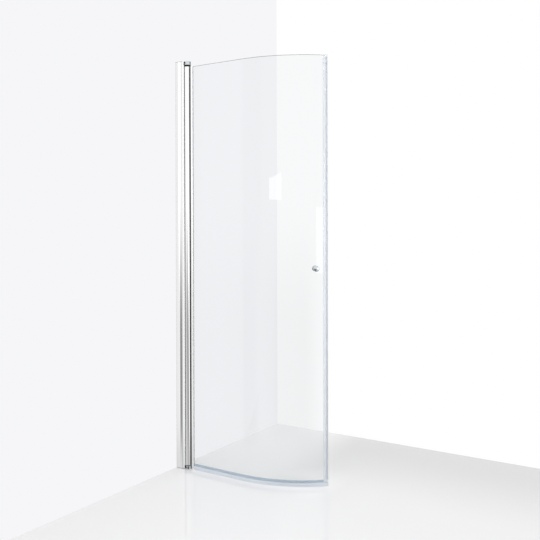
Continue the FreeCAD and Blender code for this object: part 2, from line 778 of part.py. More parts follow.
def bracket_screws(label, seat, facing):
    """The two screws of a bracket, whose heads face up (1) or down (-1)."""
    body = new_body(label, group=True)
    place(body, x=rear_port)
    profile = sketch_on(body, "XZ_Plane")
    head = seat + facing * size.screw_head_height
    ledge = top_bracket_low if facing > 0 else size.bracket_height
    tip = ledge - facing * size.screw_engagement
    outline(
        profile,
        (0, tip),
        (size.screw_radius, tip),
        (size.screw_radius, seat),
        (size.screw_head_radius, seat),
        (size.screw_head_radius, head),
        (0, head),
    )
    turned = revolve(body, profile)
    socket = sketch_on(body, "XY_Plane", height=head)
    socket_outline(socket, size.screw_socket)
    driven = pocket(body, socket, size.socket_depth, reverse=facing < 0)
    repeat(body, [turned, driven], "X_Axis", len(ports), front_port - rear_port)


def pivot_pin(label, low, high):
    body = new_body(label)
    place(body, x=pivot_reach)
    profile = sketch_on(body, "XZ_Plane")
    small = size.pin_radius - size.pin_chamfer
    outline(
        profile,
        (0, low),
        (small, low),
        (size.pin_radius, low + size.pin_chamfer),
        (size.pin_radius, high - size.pin_chamfer),
        (small, high),
        (0, high),
    )
    revolve(body, profile)


def grub_screw(label, level):
    """A headless screw that points from the bracket's surface to the pin."""
    body = new_body(label)
    place(body, x=pivot_reach, z=level, turn=size.grub_turn)
    profile = sketch_on(body, "XY_Plane")
    inner = -(size.pin_radius + size.seal_fit)
    outer = size.grub_recess - size.tube_radius
    rectangle(profile, 0, outer, size.grub_radius, inner)
    revolve(body, profile)
    socket = sketch_on(body, "XZ_Plane", height=-outer)
    socket_outline(socket, size.grub_socket)
    pocket(body, socket, size.grub_socket_depth)


def thrust_washer():
    body = new_body("thrust_washer")
    place(body, x=pivot_reach, z=size.bracket_height)
    profile = sketch_on(body, "XZ_Plane")
    inner = size.pin_radius + size.washer_bore_gap
    rectangle(profile, inner, 0, size.tube_radius - size.washer_setback, size.washer_thickness)
    revolve(body, profile)


def bush(label, flange_end, seat, spigot_end):
    """A flanged bearing bush in one end of the tube."""
    body = new_body(label)
    place(body, x=pivot_reach)
    profile = sketch_on(body, "XZ_Plane")
    bore = size.pin_radius + size.pin_run_gap
    spigot = tube_inner - size.seal_fit
    flange = size.tube_radius - size.flange_setback
    outline(
        profile,
        (bore, flange_end),
        (flange, flange_end),
        (flange, seat),
        (spigot, seat),
        (spigot, spigot_end),
        (bore, spigot_end),
    )
    revolve(body, profile)


def pivot_tube():
    body = new_body("pivot_tube")
    place(body, x=pivot_reach, z=tube_low)
    plan = sketch_on(body, "XY_Plane")
    neck = leg(size.tube_radius, nose_half)
    outline(
        plan,
        (neck, -nose_half),
        (nose_reach - size.jaw_rounding, -nose_half, size.jaw_rounding),
        (nose_reach, size.jaw_rounding - nose_half),
        (nose_reach, -slot_half),
        (slot_floor, -slot_half),
        (slot_floor, slot_half),
        (nose_reach, slot_half),
        (nose_reach, nose_half - size.jaw_rounding, size.jaw_rounding),
        (nose_reach - size.jaw_rounding, nose_half),
        (neck, nose_half, size.tube_radius),
        (0, size.tube_radius, size.tube_radius),
        (-size.tube_radius, 0, size.tube_radius),
        (0, -size.tube_radius, size.tube_radius),
    )
    circle(plan, tube_inner)
    pad(body, plan, tube_high - tube_low)


def glazing_gasket(label, side):
    """A strip between the glass and one jaw, with a lip over the jaw's end."""
    body = new_body(label)
    place(body, x=pivot_reach, z=tube_low)
    plan = sketch_on(body, "XY_Plane")
    back = slot_floor + size.seal_fit
    tip = nose_reach + size.gasket_lip
    near = side * (glass_half + size.seal_fit)
    far = side * (slot_half - size.seal_fit)
    lip_edge = side * (slot_half + size.gasket_lip_height)
    outline(
        plan,
        (back, near),
        (tip, near),
        (tip, far),
        (nose_reach + size.seal_fit, lip_edge),
        (nose_reach + size.seal_fit, far),
        (back, far),
    )
    pad(body, plan, glass_high - tube_low)


def glass_panel():
    body = new_body("glass_panel")
    place(body, z=glass_low)
    plan = sketch_on(body, "XY_Plane")
    outline(
        plan,
        (glass_start, -glass_half),
        (curve_start, -glass_half, size.curve_radius + glass_half),
        on_curve(glass_turn, glass_half),
        (*on_curve(glass_turn, -glass_half), glass_half - size.curve_radius),
        (curve_start, glass_half),
        (glass_start, glass_half),
    )
    pad(body, plan, glass_high - glass_low)
    height = glass_high - glass_low
    chamfer_edges(
        body,
        size.glass_arris,
        lambda edge: edge_is_level(edge, 0) or edge_is_level(edge, height),
    )
    x, y = on_curve(knob_turn, size.glass_thickness)
    level = size.knob_height - glass_low
    hole = sketch_on(body, "XZ_Plane", height=-y, across=x, up=level, turn=knob_turn)
    circle(hole, size.glass_hole_radius)
    pocket(body, hole, 2 * size.glass_thickness)


def sill_stretch(body, turn, draw_section):
    """One section of the bottom seal, run along the straight and then round the curve."""
    section = sketch_on(body, "YZ_Plane", height=curve_start)
    foot = spot(size.curve_radius, 0)
    axis = section.addGeometry(Part.LineSegment(foot, spot(foot.x, glass_low)), True)
    fix_point(section, axis, 1, size.curve_radius, 0)
    fix_point(section, axis, 2, size.curve_radius, glass_low)
    draw_section(section)
    pad(body, section, curve_start - sill_start, reverse=True)
    revolve(body, section, axis="Axis0", angle=turn)


def sill_base_section(section):
    """The base under the glass and the lip that wipes the floor."""
    lip_outer = size.lip_lean - clip_outer
    outline(
        section,
        (-clip_outer, sill_base_low),
        (lip_outer, size.sill_floor_gap),
        (lip_outer + size.lip_tip, size.sill_floor_gap),
        (size.lip_root - clip_outer, sill_base_low),
        (clip_outer, sill_base_low),
        (clip_outer, sill_base_high),
        (-clip_outer, sill_base_high),
    )


def sill_clip_section(section):
    """The two walls that grip the glass."""
    high = glass_low + size.sill_clip_height
    rectangle(section, -clip_outer, sill_base_high, -clip_inner, high)
    rectangle(section, clip_inner, sill_base_high, clip_outer, high)


def bottom_seal():
    body = new_body("bottom_seal")
    sill_stretch(body, size.curve_angle, sill_base_section)
    sill_stretch(body, clip_turn, sill_clip_section)


def at_glass_end(body, level):
    x, y = on_curve(glass_turn)
    place(body, x, y, level, glass_turn)


def edge_seal():
    """The clip over the closing edge of the glass, with the magnet's chamber in front."""
    body = new_body("edge_seal")
    at_glass_end(body, edge_low)
    plan = sketch_on(body, "XY_Plane")
    rounding = size.edge_rounding
    outline(
        plan,
        (-size.edge_overlap, -clip_outer),
        (size.edge_reach - rounding, -clip_outer, rounding),
        (size.edge_reach, rounding - clip_outer),
        (size.edge_reach, clip_outer - rounding, rounding),
        (size.edge_reach - rounding, clip_outer),
        (-size.edge_overlap, clip_outer),
        (-size.edge_overlap, clip_inner),
        (size.seal_end_gap, clip_inner),
        (size.seal_end_gap, -clip_inner),
        (-size.edge_overlap, -clip_inner),
    )
    pad(body, plan, edge_high - edge_low)
    corner = sketch_on(body, "XZ_Plane", height=-clip_outer)
    outline(
        corner,
        (size.edge_reach, 0),
        (size.edge_reach, size.edge_corner, -size.edge_corner),
        (size.edge_reach - size.edge_corner, 0),
    )
    pocket(body, corner, 2 * clip_outer, reverse=True)
    chamber = sketch_on(body, "XY_Plane")
    rectangle(chamber, magnet_back, -clip_inner, magnet_front, clip_inner)
    pocket(body, chamber, edge_high - edge_low, reverse=True)


def magnet_strip():
    body = new_body("magnet_strip")
    at_glass_end(body, edge_low + magnet_end_step)
    plan = sketch_on(body, "XY_Plane")
    edge = clip_inner - size.magnet_gap
    rectangle(plan, magnet_back + size.magnet_gap, -edge, magnet_front - size.magnet_gap, edge)
    pad(body, plan, edge_high - edge_low - 2 * magnet_end_step)


def at_knob(body):
    x, y = on_curve(knob_turn)
    place(body, x, y, size.knob_height, knob_turn)


def knob(label, side):
    """A knob with a waist and a domed face, inside (side 1) or outside (side -1) the shower."""
    body = new_body(label)
    at_knob(body)
    profile = sketch_on(body, "XY_Plane")
    bore = size.stud_radius + size.seal_fit
    bore_end = stud_end + size.knob_washer_gap
    face_edge = knob_face - size.knob_dome
    dome = bow_radius(2 * knob_face_radius, size.knob_dome)
    outline(
        profile,
        (bore, side * knob_foot),
        (knob_foot_radius, side * knob_foot),
        (knob_foot_radius, side * knob_foot_top),
        (knob_waist_radius, side * knob_waist_low),
        (knob_waist_radius, side * knob_waist_high, -side * size.knob_flare),
        (size.knob_radius, side * knob_head_low),
        (size.knob_radius, side * (face_edge - size.knob_rounding), side * size.knob_rounding),
        (knob_face_radius, side * face_edge, side * dome),
        (0, side * knob_face),
        (0, side * bore_end),
        (bore, side * bore_end),
    )
    revolve(body, profile)


def knob_washer(label, side):
    body = new_body(label)
    at_knob(body)
    profile = sketch_on(body, "XY_Plane")
    inner = size.stud_radius + size.knob_washer_gap
    near = side * knob_washer_near
    far = side * knob_washer_far
    rectangle(profile, inner, near, knob_foot_radius - size.knob_washer_setback, far)
    revolve(body, profile)


def knob_stud():
    body = new_body("knob_stud")
    at_knob(body)
    profile = sketch_on(body, "XY_Plane")
    rectangle(profile, 0, -stud_end, size.stud_radius, stud_end)
    revolve(body, profile)


def glass_hole_sleeve():
    body = new_body("glass_hole_sleeve")
    at_knob(body)
    profile = sketch_on(body, "XY_Plane")
    inner = size.stud_radius + size.seal_fit
    outer = size.glass_hole_radius - size.seal_fit
    rectangle(profile, inner, -glass_half, outer, glass_half)
    revolve(body, profile)


def build():
    wall_channel()
    channel_end_cap("channel_top_cap", channel_high, channel_high - size.cap_tab_length)
    channel_end_cap("channel_bottom_cap", 0, channel_low)
    locking_screws()
    locking_nuts()
    locking_screw_caps()

    adjusting_profile()
    cradle_seal("outer_cradle_seal", -1)
    cradle_seal("inner_cradle_seal", 1)
    pivot_bracket(
        "top_pivot_bracket", top_bracket_low, top_bracket_low, profile_high, size.bracket_height
    )
    pivot_bracket("bottom_pivot_bracket", 0, profile_low, size.bracket_height, 0)
    bracket_screws("top_bracket_screws", profile_high - size.screw_head_height - size.screw_hole_gap, 1)
    bracket_screws(
        "bottom_bracket_screws", profile_low + size.screw_head_height + size.screw_hole_gap, -1
    )
    pivot_pin(
        "top_pivot_pin", tube_high - size.pin_engagement, top_bracket_high - size.pin_recess
    )
    pivot_pin("bottom_pivot_pin", size.pin_recess, tube_low + size.pin_engagement)
    grub_screw("top_grub_screw", top_grub_level)
    grub_screw("bottom_grub_screw", bottom_grub_level)
    thrust_washer()

    pivot_tube()
    bush("top_bush", top_flange_high, tube_high, tube_high - size.bush_spigot)
    bush("bottom_bush", bottom_flange_low, tube_low, tube_low + size.bush_spigot)
    glazing_gasket("outer_glazing_gasket", -1)
    glazing_gasket("inner_glazing_gasket", 1)
    glass_panel()
    bottom_seal()
    edge_seal()
    magnet_strip()
    knob("outer_knob", -1)
    knob("inner_knob", 1)
    knob_washer("outer_knob_washer", -1)
    knob_washer("inner_knob_washer", 1)
    knob_stud()
    glass_hole_sleeve()


def check():
    for item in doc.Objects:
        if "Invalid" in item.State or "Error" in item.State:
            raise RuntimeError("%s could not be made" % item.Label)
    for piece in pieces:
        if piece.Shape.isNull() or not piece.Shape.isValid() or not piece.Shape.Solids:
            raise RuntimeError("%s has no valid solid" % piece.Label)


build()
doc.recompute()
check()
os.makedirs("parts", exist_ok=True)
for piece in pieces:
    piece.Shape.exportStep(os.path.join("parts", piece.Label + ".step"))
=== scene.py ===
"""Curved pivot shower door: the visible pieces, their finishes and a plain studio.

Lengths in the modelling code are millimetres. Meshes are stored in metres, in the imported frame: the
wall is X = 0, the floor is Z = 0, and the leaf leaves the wall along +X and curves towards +Y.
"""

import json
import math

import bmesh
import bpy
from mathutils import Matrix, Vector

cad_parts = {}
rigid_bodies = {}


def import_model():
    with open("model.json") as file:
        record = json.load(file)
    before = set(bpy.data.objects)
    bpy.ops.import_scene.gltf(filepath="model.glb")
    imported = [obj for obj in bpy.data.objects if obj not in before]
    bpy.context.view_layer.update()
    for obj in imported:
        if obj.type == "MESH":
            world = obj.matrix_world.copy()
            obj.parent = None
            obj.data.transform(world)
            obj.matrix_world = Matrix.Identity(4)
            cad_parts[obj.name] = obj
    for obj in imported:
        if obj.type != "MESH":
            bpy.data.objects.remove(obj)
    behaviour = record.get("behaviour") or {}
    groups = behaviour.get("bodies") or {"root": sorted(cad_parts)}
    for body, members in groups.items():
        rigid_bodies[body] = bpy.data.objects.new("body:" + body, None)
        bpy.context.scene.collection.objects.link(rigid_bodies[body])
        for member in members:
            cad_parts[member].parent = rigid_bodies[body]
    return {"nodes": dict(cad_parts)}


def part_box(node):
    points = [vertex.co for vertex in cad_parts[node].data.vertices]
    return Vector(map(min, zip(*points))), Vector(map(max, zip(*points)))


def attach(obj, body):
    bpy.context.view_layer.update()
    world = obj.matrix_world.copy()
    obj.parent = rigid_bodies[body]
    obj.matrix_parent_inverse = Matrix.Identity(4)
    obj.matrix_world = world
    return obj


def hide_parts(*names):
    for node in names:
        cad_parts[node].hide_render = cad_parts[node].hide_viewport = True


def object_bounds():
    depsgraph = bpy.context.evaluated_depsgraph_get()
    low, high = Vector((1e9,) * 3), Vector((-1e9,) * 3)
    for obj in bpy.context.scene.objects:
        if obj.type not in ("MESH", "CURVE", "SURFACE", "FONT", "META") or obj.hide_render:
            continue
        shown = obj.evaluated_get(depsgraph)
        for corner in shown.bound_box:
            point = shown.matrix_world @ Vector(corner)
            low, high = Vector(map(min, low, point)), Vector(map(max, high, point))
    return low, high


bl_info = {
    "name": "Pivot Shower Door",
    "version": (1, 0, 0),
    "blender": (4, 5, 0),
    "location": "3D View > Sidebar > Shower Door",
    "description": "Models and finishes a curved pivot shower door, piece by piece",
    "category": "Object",
}

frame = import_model()
CAD_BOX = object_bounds()
CHANNEL_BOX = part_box("wall_channel")
TUBE_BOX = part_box("pivot_tube")
GLASS_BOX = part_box("glass_panel")
KNOB_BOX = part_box("outer_knob")

SMOOTH_ANGLE = math.radians(32)
WELD = 2e-5
UP = Vector((0, 0, 1))


# Sizes and colours that a user would change.


def length(name, description, default):
    return bpy.props.FloatProperty(
        name=name, description=description, default=default, min=0, unit="LENGTH", precision=5
    )


def angle(name, description, degrees):
    return bpy.props.FloatProperty(
        name=name, description=description, default=math.radians(degrees), subtype="ANGLE"
    )


def factor(name, description, default, high=1.0):
    return bpy.props.FloatProperty(
        name=name, description=description, default=default, min=0, max=high, subtype="FACTOR"
    )


def colour(name, description, *default):
    return bpy.props.FloatVectorProperty(
        name=name, description=description, default=default, min=0, max=1, size=3, subtype="COLOR"
    )


class DoorSizes(bpy.types.PropertyGroup):
    """Sizes of the door's pieces."""

    channel_depth: length("Channel depth", "Wall channel, out of the wall", CHANNEL_BOX[1].x)
    channel_crown: length("Channel crown", "Half the width at the bowed sides", CHANNEL_BOX[1].y)
    channel_bulge: length("Channel bulge", "How far the sides are bowed", 0.0016)
    channel_wall: length("Channel wall", "Sides of the channel at its mouth", 0.0016)
    cap_thickness: length("End caps", "Plates over the channel's ends", CHANNEL_BOX[0].z)
    tube_radius: length("Tube radius", "Pivot tube", 0.016)
    tube_wall: length("Tube wall", "Pivot tube", 0.002)
    pivot_reach: length("Pivot axis", "Pivot axis, out of the wall", TUBE_BOX[0].x + 0.016)
    jaw_reach: length("Jaws", "Ends of the tube's jaws, from the axis", 0.032)
    jaw_half: length("Jaw half width", "Outer faces of the jaws", 0.007)
    glass_thickness: length("Glass thickness", "Toughened glass", 0.006)
    glass_arris: length("Glass arris", "Ground edges of the glass", 0.0006)
    straight_run: length("Straight run", "From the axis to where the glass curves", 0.3055)
    curve_radius: length("Curve radius", "Middle plane of the glass", 0.5)
    curve_angle: angle("Curve angle", "Turn of the leaf up to its closing edge", 45)
    seal_wall: length("Seal wall", "Walls of the clip-on seals", 0.0014)
    knob_radius: length("Knob radius", "Head of a knob", 0.0125)
    knob_height: length("Knob height", "Above the floor", (KNOB_BOX[0].z + KNOB_BOX[1].z) / 2)


class DoorFinishes(bpy.types.PropertyGroup):
    """Colours of the door's finishes."""

    aluminium: colour("Aluminium", "Bright anodised profiles", 0.93, 0.93, 0.935)
    chrome: colour("Chrome", "Plated caps and knobs", 0.62, 0.66, 0.68)
    steel: colour("Steel", "Screws, pins and plates", 0.52, 0.52, 0.53)
    black_steel: colour("Blackened steel", "Grub screws", 0.05, 0.048, 0.045)
    grey_plastic: colour("Grey plastic", "End caps of the channel", 0.44, 0.45, 0.46)
    black_plastic: colour("Black plastic", "Bearing bushes", 0.012, 0.012, 0.013)
    white_seal: colour("White strip", "Strips beside the tube and the glass", 0.97, 0.97, 0.97)
    clear_seal: colour("Clear seal", "Edge seal", 0.92, 0.94, 0.965)
    seal_lip: colour("Seal lip", "Soft lower part of the bottom seal", 0.78, 0.82, 0.87)
    # Painted shade: the bottom seal's clip gets this darker colour in place of the shade it sits in.
    shaded_seal_clip: colour("Seal clip", "Stiffer upper part of the bottom seal", 0.68, 0.75, 0.82)
    magnet: colour("Magnet", "Strip in the edge seal", 0.66, 0.71, 0.79)
    glass: colour("Glass", "Tint of a thick pane", 0.795, 0.835, 0.85)


class StudioSettings(bpy.types.PropertyGroup):
    """Backdrop and light."""

    side_wall: colour("Side wall", "Wall that carries the door", 0.920, 0.920, 0.939)
    back_wall: colour("Back wall", "Wall opposite the door", 1.0, 1.0, 1.0)
    floor: colour("Floor", "Pale floor", 0.89, 0.89, 0.895)
    back_wall_reach: length("Back wall reach", "From the door to the wall opposite", 0.87)
    room_light: factor("Room light", "Light that the walls and the air give", 0.78, 2.0)
    lamp_light: factor("Lamp light", "Share of the soft lamps", 1.0, 4.0)
    lens: length("Lens", "Focal length of the camera", 0.04809)


class Millimetres:
    """Reads a group of sizes in millimetres, and its angles in degrees."""

    def __init__(self, group):
        self.group = group

    def __getattr__(self, name):
        value = getattr(self.group, name)
        return math.degrees(value) if name.endswith("angle") else value * 1000

    @property
    def channel_half(self):
        return self.channel_crown - self.channel_bulge

    @property
    def channel_inner(self):
        return self.channel_half - self.channel_wall

    @property
    def glass_half(self):
        return self.glass_thickness / 2

    @property
    def curve_start(self):
        return self.pivot_reach + self.straight_run

    @property
    def clip_inner(self):
        return self.glass_half + SEAL_GAP

    @property
    def clip_outer(self):
        return self.clip_inner + self.seal_wall

    @property
    def glass_turn(self):
        return self.curve_angle - self.turn_of(EDGE_REACH)

    def turn_of(self, run):
        """Degrees that a run along the curved part takes up."""
        return math.degrees(run / self.curve_radius)

    def on_curve(self, turn):
        """A point of the glass's middle plane at a turn."""
        turned = math.radians(turn)
        x = self.curve_start + self.curve_radius * math.sin(turned)
        return x, self.curve_radius * (1 - math.cos(turned))


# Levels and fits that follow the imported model. Of the black ring under the top cap, the photograph
# shows RING_SHOWN more.
SEAL_GAP = 0.25
EDGE_REACH = 10.0
EDGE_OVERLAP = 9.5
GLASS_LOW = GLASS_BOX[0].z * 1000
GLASS_HIGH = GLASS_BOX[1].z * 1000
TUBE_LOW = TUBE_BOX[0].z * 1000
TUBE_HIGH = TUBE_BOX[1].z * 1000
HEIGHT = CAD_BOX[1].z * 1000
BOSS_HEIGHT = 16.5
RING_SHOWN = 3.0
TOP_BOSS_LOW = HEIGHT - 1.0 - BOSS_HEIGHT
LOCK_LEVELS = (150.0, 950.0, 1750.0)


# Modelling by hand: a mesh in edit mode, and the strokes that shape it.


def metres(x, y, z):
    return Vector((x, y, z)) / 1000


def plan(z, x=0.0, y=0.0, turn=0.0):
    """Drawing plane seen from above, at a height, turned about the vertical."""
    return Matrix.Translation((x, y, z)) @ Matrix.Rotation(math.radians(turn), 4, "Z")


def cross_section(x):
    """Drawing plane across the leaf: the first number runs along +Y and the second one up."""
    return Matrix(((0, 0, 1, x), (1, 0, 0, 0), (0, 1, 0, 0), (0, 0, 0, 1)))


def turning_plane(origin, axis):
    """Drawing plane for turned work: first the distance from the axis, then the place along it."""
    axis = Vector(axis).normalized()
    outwards = axis.orthogonal().normalized()
    sideways = outwards.cross(axis)
    turned = Matrix((outwards, axis, sideways)).transposed().to_4x4()
    return Matrix.Translation(origin) @ turned


class Bench:
    """One piece in the making. Its object stays at the origin, and its place is in its mesh."""

    def __init__(self, name):
        bpy.ops.object.select_all(action="DESELECT")
        self.piece = bpy.data.objects.new(name, bpy.data.meshes.new(name))
        bpy.context.scene.collection.objects.link(self.piece)
        bpy.context.view_layer.objects.active = self.piece
        self.piece.select_set(True)
        bpy.ops.object.mode_set(mode="EDIT")
        bpy.ops.mesh.select_mode(type="VERT")

    def outline(self, plane, *corners, closed=True, fill=True, step=4.0):
        """Draws a line through corners. A third number is the radius of the arc that follows the
        corner, positive where it turns left."""
        bpy.ops.mesh.select_all(action="DESELECT")
        begin = metres(*(plane @ Vector((*corners[0][:2], 0))))
        bpy.ops.mesh.primitive_plane_add(size=0.0001, location=begin)
        bpy.ops.mesh.merge(type="CENTER")
        ends = corners[1:] + corners[:1] if closed else corners[1:]
        for corner, end in zip(corners, ends):
            start, stop = Vector(corner[:2]), Vector(end[:2])
            if len(corner) == 3:
                self.arc(plane, start, stop, corner[2], step)
            else:
                shift = plane.to_3x3() @ (stop - start).to_3d()
                bpy.ops.mesh.extrude_region_move(TRANSFORM_OT_translate={"value": shift / 1000})
        bpy.ops.mesh.select_linked()
        bpy.ops.mesh.remove_doubles(threshold=WELD)
        if closed and fill:
            bpy.ops.mesh.edge_face_add()

    def arc(self, plane, start, stop, radius, step):
        chord = stop - start
        rise = math.sqrt(max(radius**2 - chord.length_squared / 4, 0))
        left = Vector((-chord.y, chord.x)).normalized()
        centre = (start + stop) / 2 + left * math.copysign(rise, radius)
        swept = 2 * math.asin(min(1, chord.length / 2 / abs(radius)))
        swept = math.copysign(swept, radius)
        self.spin(
            plane @ centre.to_3d(),
            plane.to_3x3() @ UP,
            math.degrees(swept),
            max(2, round(abs(math.degrees(swept)) / step)),
        )

    def spin(self, centre, axis, degrees, steps):
        """Spins the selection counter-clockwise about an axis that points at the viewer."""
        bpy.ops.mesh.spin(
            steps=steps,
            angle=-math.radians(degrees),
            center=metres(*centre),
            axis=Vector(axis),
            use_auto_merge=False,
        )

    def pull(self, x, y, z):
        bpy.ops.mesh.extrude_region_move(TRANSFORM_OT_translate={"value": metres(x, y, z)})

    def turn(self, plane, *corners, steps=72, step=10.0, closed=False):
        """Turned work: a profile spun all the way round the plane's axis."""
        self.outline(plane, *corners, closed=closed, fill=False, step=step)
        self.spin(plane.translation, plane.to_3x3() @ Vector((0, 1, 0)), 360, steps)
        self.heal()

    def drill(self, radius, start, stop, vertices=40):
        """A round bar between two points, as a tool for a hole."""
        start, stop = metres(*start), metres(*stop)
        along = stop - start
        bpy.ops.mesh.primitive_cylinder_add(
            radius=radius / 1000,
            depth=along.length,
            vertices=vertices,
            location=(start + stop) / 2,
            rotation=along.to_track_quat("Z", "Y").to_euler(),
        )

    def pick(self, kind, test):
        """Selects the faces or edges that pass a test, and nothing else."""
        bpy.ops.mesh.select_mode(type=kind)
        bpy.ops.mesh.select_all(action="DESELECT")
        mesh = bmesh.from_edit_mesh(self.piece.data)
        found = [item for item in (mesh.faces if kind == "FACE" else mesh.edges) if test(item)]
        if not found:
            raise RuntimeError(f"{self.piece.name}: nothing there to shape")
        for item in found:
            item.select_set(True)
        mesh.select_flush_mode()
        bmesh.update_edit_mesh(self.piece.data)

    def bevel(self, width, test, segments=3):
        self.pick("EDGE", test)
        bpy.ops.mesh.bevel(offset=width / 1000, segments=segments, affect="EDGES")

    def slice(self, level):
        """Cuts every face at a height, with nothing taken away."""
        bpy.ops.mesh.select_all(action="SELECT")
        bpy.ops.mesh.bisect(plane_co=metres(0, 0, level), plane_no=UP)

    def heal(self):
        bpy.ops.mesh.select_mode(type="VERT")
        bpy.ops.mesh.select_all(action="SELECT")
        bpy.ops.mesh.remove_doubles(threshold=WELD)
        bpy.ops.mesh.normals_make_consistent(inside=False)

    def close(self):
        """Leaves edit mode, with closed faces that point outwards."""
        self.heal()
        bpy.ops.object.mode_set(mode="OBJECT")
        mesh = bmesh.new()
        mesh.from_mesh(self.piece.data)
        loose = sum(not edge.is_manifold for edge in mesh.edges)
        mesh.free()
        if loose:
            raise RuntimeError(f"{self.piece.name} has {loose} open edges")
        return self.piece


def boolean(piece, tool, operation):
    """Cuts a closed piece with a closed tool, or joins them, and takes the tool away."""
    bpy.ops.object.select_all(action="DESELECT")
    bpy.context.view_layer.objects.active = piece
    piece.select_set(True)
    bpy.ops.object.modifier_add(type="BOOLEAN")
    modifier = piece.modifiers[-1]
    modifier.operation = operation
    modifier.object = tool
    modifier.solver = "EXACT"
    bpy.ops.object.modifier_apply(modifier=modifier.name)
    bpy.data.objects.remove(tool)


def reopen(piece):
    """Takes a closed piece back to the bench."""
    bench = Bench.__new__(Bench)
    bench.piece = piece
    bpy.ops.object.select_all(action="DESELECT")
    bpy.context.view_layer.objects.active = piece
    piece.select_set(True)
    bpy.ops.object.mode_set(mode="EDIT")
    return bench


def fit(piece, body, slot, material, *nodes):
    """Smooths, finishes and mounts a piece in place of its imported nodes."""
    bpy.ops.object.select_all(action="DESELECT")
    bpy.context.view_layer.objects.active = piece
    piece.select_set(True)
    bpy.ops.object.shade_smooth_by_angle(angle=SMOOTH_ANGLE)
    piece.data.materials.clear()
    piece.data.materials.append(material)
    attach(piece, body)
    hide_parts(*nodes)
    return piece


def copied(piece, name, shift):
    """A copy with its own mesh, moved in its mesh."""
    twin = piece.copy()
    twin.name = name
    twin.data = piece.data.copy()
    twin.data.name = name
    twin.data.transform(Matrix.Translation(metres(*shift)))
    bpy.context.scene.collection.objects.link(twin)
    return twin


# Shader expressions.


class Signal:
    """A shader value. Sums and products of signals add the nodes that work them out."""

    def __init__(self, graph, socket):
        self.graph = graph
        self.socket = socket

    def math(self, operation, *others):
        sockets = dict(enumerate((self, *others)))
        return self.graph.node("ShaderNodeMath", {"operation": operation}, sockets).out()

    def __add__(self, other):
        return self.math("ADD", other)

    def __sub__(self, other):
        return self.math("SUBTRACT", other)

    def __rsub__(self, other):
        return self.graph.node(
            "ShaderNodeMath", {"operation": "SUBTRACT"}, {0: other, 1: self}
        ).out()

    def __mul__(self, other):
        return self.math("MULTIPLY", other)

    def __truediv__(self, other):
        return self.math("DIVIDE", other)

    def __pow__(self, other):
        return self.math("POWER", other)

    __radd__ = __add__
    __rmul__ = __mul__

    def larger(self, other):
        return self.math("MAXIMUM", other)

    def ramp(self, low, high):
        """0 below low and 1 above high, with a smooth change between."""
        settings = {"interpolation_type": "SMOOTHSTEP"}
        return self.graph.node(
            "ShaderNodeMapRange", settings, {"Value": self, "From Min": low, "From Max": high}
        ).out()

    def band(self, low, high, soft):
        """1 between low and high, with soft ends."""
        return self.ramp(low - soft, low + soft) * (1 - self.ramp(high - soft, high + soft))


class Built:
    """A node that was just added, with its output sockets."""

    def __init__(self, graph, node):
        self.graph = graph
        self.node = node

    def out(self, name=0):
        return Signal(self.graph, self.node.outputs[name])


class Graph:
    """The nodes of one material, or of the world."""

    def __init__(self, owner):
        owner.use_nodes = True
        self.tree = owner.node_tree
        self.tree.nodes.clear()

    def node(self, kind, settings=None, sockets=None):
        """Adds a node: its settings first, then the values and links of its sockets."""
        node = self.tree.nodes.new(kind)
        for name, value in (settings or {}).items():
            if name == "stops":
                self.set_stops(node.color_ramp, value)
            else:
                setattr(node, name, value)
        for name, value in (sockets or {}).items():
            if isinstance(value, Signal):
                self.tree.links.new(value.socket, node.inputs[name])
            else:
                node.inputs[name].default_value = value
        return Built(self, node)

    def curve(self, value, *points):
        """A value that runs from point to point, drawn over -180 to 180, and up to 2 high."""
        stops = [((place + 180) / 360, shade((height / 2,) * 3)) for place, height in points]
        settings = {"stops": stops}
        return self.node("ShaderNodeValToRGB", settings, {"Fac": (value + 180) / 360}).out() * 2

    @staticmethod
    def set_stops(ramp, stops):
        while len(ramp.elements) < len(stops):
            ramp.elements.new(0.5)
        for element, (place, shade) in zip(ramp.elements, stops):
            element.position = place
            element.color = shade

    def place(self):
        return self.node("ShaderNodeTexCoord").out("Object")

    def stretched(self, x, y, z):
        """Object coordinates, scaled, so that a pattern is drawn out along an axis."""
        return self.node(
            "ShaderNodeMapping", None, {"Vector": self.place(), "Scale": (x, y, z)}
        ).out()

    def noise(self, scale, detail=2.0, rough=0.5, vector=None):
        sockets = {
            "Vector": vector or self.place(),
            "Scale": scale,
            "Detail": detail,
            "Roughness": rough,
        }
        return self.node("ShaderNodeTexNoise", None, sockets).out()

    def mix(self, share, first, second):
        """A mix of two colours."""
        settings = {"data_type": "RGBA"}
        sockets = {"Factor": share, 6: first, 7: second}
        return self.node("ShaderNodeMix", settings, sockets).out(2)

    def blend(self, share, first, second):
        """A mix of two surfaces."""
        return self.node("ShaderNodeMixShader", None, {0: share, 1: first, 2: second}).out()

    def bump(self, height, strength, distance):
        sockets = {"Height": height, "Strength": strength, "Distance": distance}
        return self.node("ShaderNodeBump", None, sockets).out()

    def output(self, **shaders):
        self.node("ShaderNodeOutputMaterial", None, shaders)


def shade(rgb, amount=1.0):
    """A colour for a socket, made lighter or darker by an amount."""
    return (*(min(1.0, part * amount) for part in rgb), 1.0)


def new_material(name):
    """A material with an empty graph, or the one that is there already, without a graph."""
    material = bpy.data.materials.get(name)
    if material:
        return material, None
    material = bpy.data.materials.new(name)
    return material, Graph(material)


def principled(graph, **values):
    """The surface shader. Names of values are its sockets, written with underscores."""
    sockets = {
        name.replace("_", " ").title().replace("Ior", "IOR"): value
        for name, value in values.items()
    }
    return graph.node("ShaderNodeBsdfPrincipled", None, sockets).out()


